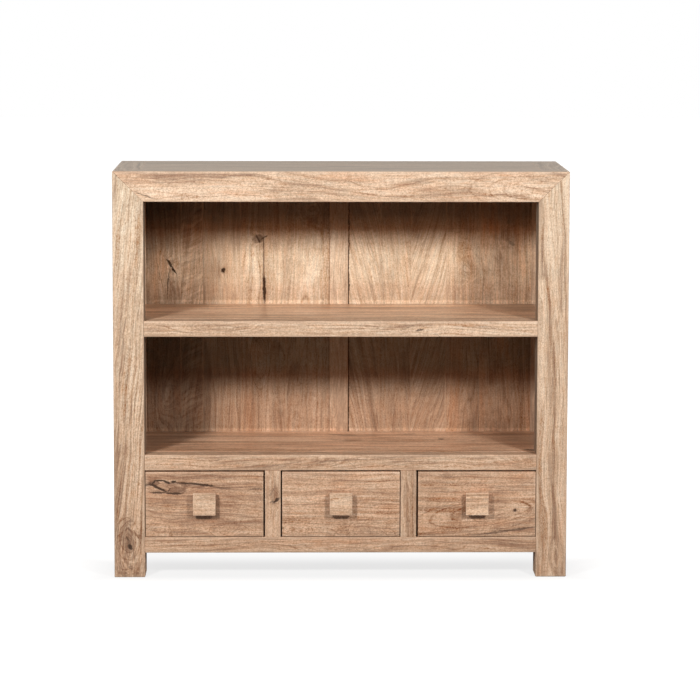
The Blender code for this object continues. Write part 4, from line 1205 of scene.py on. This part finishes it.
def makeKnob(place, body):
    name = body + "_knob"
    middle, half = drawerSpec["middles"][place], knob["side"] / 2
    back = knob["face"] + knob["thick"]
    piece = startBlock(name, at(middle - half, knob["face"], knob["height"] - half),
                       at(middle + half, back, knob["height"] + half))
    pickFaces(piece, lambda middle, normal: normal.y > edgeRules["flat"])
    bpy.ops.mesh.inset(thickness=(knob["side"] - knob["neck"]) / 2, depth=0.0)
    bpy.ops.mesh.extrude_region_move(TRANSFORM_OT_translate={"value": (0.0, -back - knob["gap"], 0.0)})
    bpy.ops.object.mode_set(mode="OBJECT")
    easeEdges(piece, knob["arris"], knob["segments"])
    bandFaces(piece, knob["band"])
    markWearAndHighlight(piece)
    wood = woodFinish(name + "_wood", "x", (0.0, 0.0, 0.1), drawerSpec["seeds"][place] + 4,
                      tone=knob["tones"][place], redness=(0.05, 0.05))
    finishPiece(piece, wood, body, [name])


screw = {
    "slot": (0.0052, 0.0009), "slotDepth": 0.0012, "past": 0.001,
    "colour": (0.52, 0.51, 0.50), "cloudScale": (420.0, 420.0, 420.0), "turnedScale": (60.0, 5200.0, 60.0),
    "cloudTint": 0.35, "leastTint": 0.82, "cloudRough": 0.22, "leastRough": 0.20,
    "relief": 0.2, "reliefDepth": 0.0002,
}


# turned steel, zinc-plated and a little worn
def steelFinish():
    material, tree = newMaterial("turned_steel")
    where = node(tree, "ShaderNodeTexCoord", {}, 3)
    cloud = noise(tree, where, screw["cloudScale"], 3.0)
    turned = noise(tree, where, screw["turnedScale"], 1.0)
    tint = calc(tree, "MULTIPLY_ADD", cloud, screw["cloudTint"], screw["leastTint"])
    tint = vec(tree, "MULTIPLY", (1.0, 1.0, 1.0), tint)
    colour = blend(tree, 1.0, screw["colour"], tint, "MULTIPLY")
    rough = calc(tree, "MULTIPLY_ADD", cloud, screw["cloudRough"], screw["leastRough"])
    bump = node(tree, "ShaderNodeBump", {
        "Strength": screw["relief"], "Distance": screw["reliefDepth"], "Height": turned})
    shader = node(tree, "ShaderNodeBsdfPrincipled", {
        "Base Color": colour, "Metallic": 1.0, "Roughness": rough, "Normal": bump})
    node(tree, "ShaderNodeOutputMaterial", {"Surface": shader})
    return material


# the head's cross recess faces into the drawer
def makeScrew(place, body, steel):
    name = body + "_knob_screw"
    middle = drawerSpec["middles"][place]
    piece = joinersCopy(name, name, 0)
    end = max(vertex.co.y for vertex in piece.data.vertices)
    long, narrow = (side / 2 for side in screw["slot"])
    for across, up in ((long, narrow), (narrow, long)):
        cutAway(piece, Vector((middle - across, end - screw["slotDepth"], knob["height"] - up)),
                Vector((middle + across, end + screw["past"], knob["height"] + up)))
    finishPiece(piece, steel, body, [name])


drawerMarks = {
    "left": dict(
        heart=(0.0, -0.08, 0.06), wander=0.022, depth=0.47, warmth=0.50,
        loops=((-0.2450, 0.1040, 0.058, 0.022, 0.0, 0.30), (-0.2400, 0.1030, 0.036, 0.013, 0.0, 0.30),
               (-0.3780, 0.1080, 0.050, 0.020, 0.0, 0.25)),
        knots=((-0.375, 0.203, 0.070, 0.024, -8.0, 0.060, 0.0),
               (-0.2555, 0.106, 0.055, 0.020, 8.0, 0.040, 0.0),
               (-0.40, 0.108, 0.05, 0.022, 0.0, -0.035, 0.0),
               (-0.4117, 0.2109, 0.024, 0.0115, 0.0, 0.010, 0.85),
               (-0.3599, 0.1949, 0.040, 0.0180, 0.0, 0.010, 0.55),
               (-0.3280, 0.2045, 0.060, 0.0095, -6.0, 0.006, 0.60)),
        cracks=((-0.3985, 0.2169, 0.0150, 0.0036, 0.0, 0.95), (-0.3859, 0.2145, 0.0120, 0.0032, -22.0, 0.95),
                (-0.3698, 0.2137, 0.0080, 0.0042, 10.0, 0.95), (-0.3412, 0.2104, 0.0340, 0.0028, -2.0, 0.90),
                (-0.3037, 0.2062, 0.0340, 0.0036, -5.0, 0.95), (-0.2894, 0.2047, 0.0140, 0.0030, -8.0, 0.95),
                (-0.3676, 0.1884, 0.0240, 0.0032, 0.0, 0.90), (-0.4018, 0.1888, 0.0240, 0.0028, 2.0, 0.88),
                (-0.4000, 0.2000, 0.0300, 0.0034, -27.0, 0.95), (-0.4271, 0.2078, 0.0150, 0.0026, 8.0, 0.80),
                (-0.1869, 0.1982, 0.0230, 0.0020, -2.0, 0.55), (-0.2600, 0.2005, 0.0300, 0.0018, -4.0, 0.55),
                (-0.4130, 0.2120, 0.0120, 0.0026, 48.0, 0.90), (-0.3790, 0.1960, 0.0090, 0.0022, 60.0, 0.70)),
        shades=((-0.372, 0.2010, 0.060, 0.020, -10.0, -0.40), (-0.3897, 0.1755, 0.060, 0.0050, -3.0, -0.55),
                (-0.36, 0.165, 0.09, 0.012, 0.0, -0.25), (-0.30, 0.228, 0.10, 0.006, -4.0, -0.35),
                (-0.20, 0.15, 0.05, 0.01, 0.0, -0.20), (-0.21, 0.16, 0.08, 0.09, 0.0, 0.18))),
    "middle": dict(
        heart=(0.0, -0.10, 0.02), wander=0.018, depth=0.65, warmth=0.30, contours=0.5,
        loops=((-0.0964, 0.1068, 0.046, 0.0150, 2.0, 0.40), (-0.0950, 0.1066, 0.028, 0.0085, 2.0, 0.35),
               (0.055, 0.092, 0.090, 0.035, 0.0, 0.25), (0.060, 0.092, 0.060, 0.022, 0.0, 0.25)),
        knots=((-0.0964, 0.1055, 0.045, 0.013, 0.0, 0.030, 0.0),
               (0.055, 0.100, 0.095, 0.035, 0.0, 0.070, 0.0)),
        shades=((0.0, 0.100, 0.16, 0.022, 0.0, -0.25), (-0.07, 0.17, 0.10, 0.08, 0.0, 0.30),
                (0.10, 0.17, 0.05, 0.05, 0.0, -0.18))),
    "right": dict(
        heart=(0.0, -0.14, 0.13), wander=0.016, depth=0.51, warmth=0.35, contours=0.45,
        loops=((0.308, 0.141, 0.146, 0.036, 6.7, 0.36), (0.330, 0.146, 0.112, 0.026, 7.0, 0.28),
               (0.300, 0.134, 0.190, 0.048, 7.0, 0.22)),
        knots=((0.370, 0.140, 0.200, 0.036, 7.0, 0.045, 0.0), (0.3858, 0.1503, 0.012, 0.009, 0.0, 0.012, 0.3),
               (0.235, 0.226, 0.03, 0.01, 0.0, 0.02, 0.3)),
        cracks=((0.3858, 0.1503, 0.0045, 0.0045, 0.0, 0.9), (0.365, 0.1030, 0.085, 0.0030, 7.5, 0.65),
                (0.24, 0.160, 0.05, 0.0016, 5.0, 0.35)),
        shades=((0.39, 0.103, 0.06, 0.006, 8.0, -0.50), (0.21, 0.20, 0.05, 0.03, -20.0, -0.15),
                (0.36, 0.205, 0.09, 0.02, 0.0, 0.20), (0.39, 0.17, 0.08, 0.09, 0.0, 0.30))),
}


# the front's sockets are cut by the sides' own tails
def makeFront(place, body):
    name = body + "_front"
    middle, half = drawerSpec["middles"][place], drawerSpec["width"] / 2
    low, high = drawerSpec["heights"]
    front = board(name, (middle - half, 0.0, low), (middle + half, drawerSpec["thick"], high), "x",
                  drawerSpec["frontArris"])
    for side in ("left", "right"):
        cutter = joinersCopy("cutter", "%s_side_%s" % (body, side), 0)
        cutWith(front, cutter)
        bpy.data.objects.remove(cutter)
    wood = woodFinish(name + "_wood", "x", seed=drawerSpec["seeds"][place], **drawerSpec["finish"],
                      **drawerMarks[place])
    finishPiece(front, wood, body, [name])


def makeBox(place, body):
    seed = drawerSpec["seeds"][place]
    besideHeart = (drawerSpec["middles"][place], 0.0, -0.1)
    boxParts = (
        ("side_left", "y", besideHeart, 1, "side", "drawer_wood"),
        ("side_right", "y", besideHeart, 2, "side", "drawer_wood"),
        ("back", "x", (0.0, 0.2, 0.0), 3, "front", "drawer_wood"),
        ("bottom", "x", (0.0, 0.2, 0.0), 3, "front", "drawer_bottom"))
    for part, grain, heart, step, face, slot in boxParts:
        name = "%s_%s" % (body, part)
        piece = joinersCopy(name, name, drawerSpec["boxArris"])
        wood = woodFinish(name + "_wood", grain, heart, seed + step, face, warmth=drawerSpec["boxWarmth"])
        finishPiece(piece, wood, body, [name])


steel = steelFinish()
for place in drawerSpec["middles"]:
    body = "drawer_" + place
    makeFront(place, body)
    makeBox(place, body)
    makeKnob(place, body)
    makeScrew(place, body, steel)

print("inner joinery")
innerSpec = {"arris": 0.0008, "finish": dict(heart=(0.0, 0.3, 0.35), seed=80, tone=0.85)}
innerPieces = {
    "x": ("shelf_rear_cleat", "deck_rear_cleat", "drawer_stop_rail"),
    "y": ("shelf_side_cleat_left", "shelf_side_cleat_right",
          "drawer_kicker_left_end", "drawer_kicker_left_divider",
          "drawer_kicker_right_divider", "drawer_kicker_right_end",
          "drawer_runner_left_end", "drawer_runner_left_divider",
          "drawer_runner_right_divider", "drawer_runner_right_end"),
}


def makeInnerPieces(grain, names):
    wood = woodFinish("inner_wood_" + grain, grain, **innerSpec["finish"])
    for name in names:
        finishPiece(joinersCopy(name, name, innerSpec["arris"]), wood, "carcase", [name])


for grain, names in innerPieces.items():
    makeInnerPieces(grain, names)
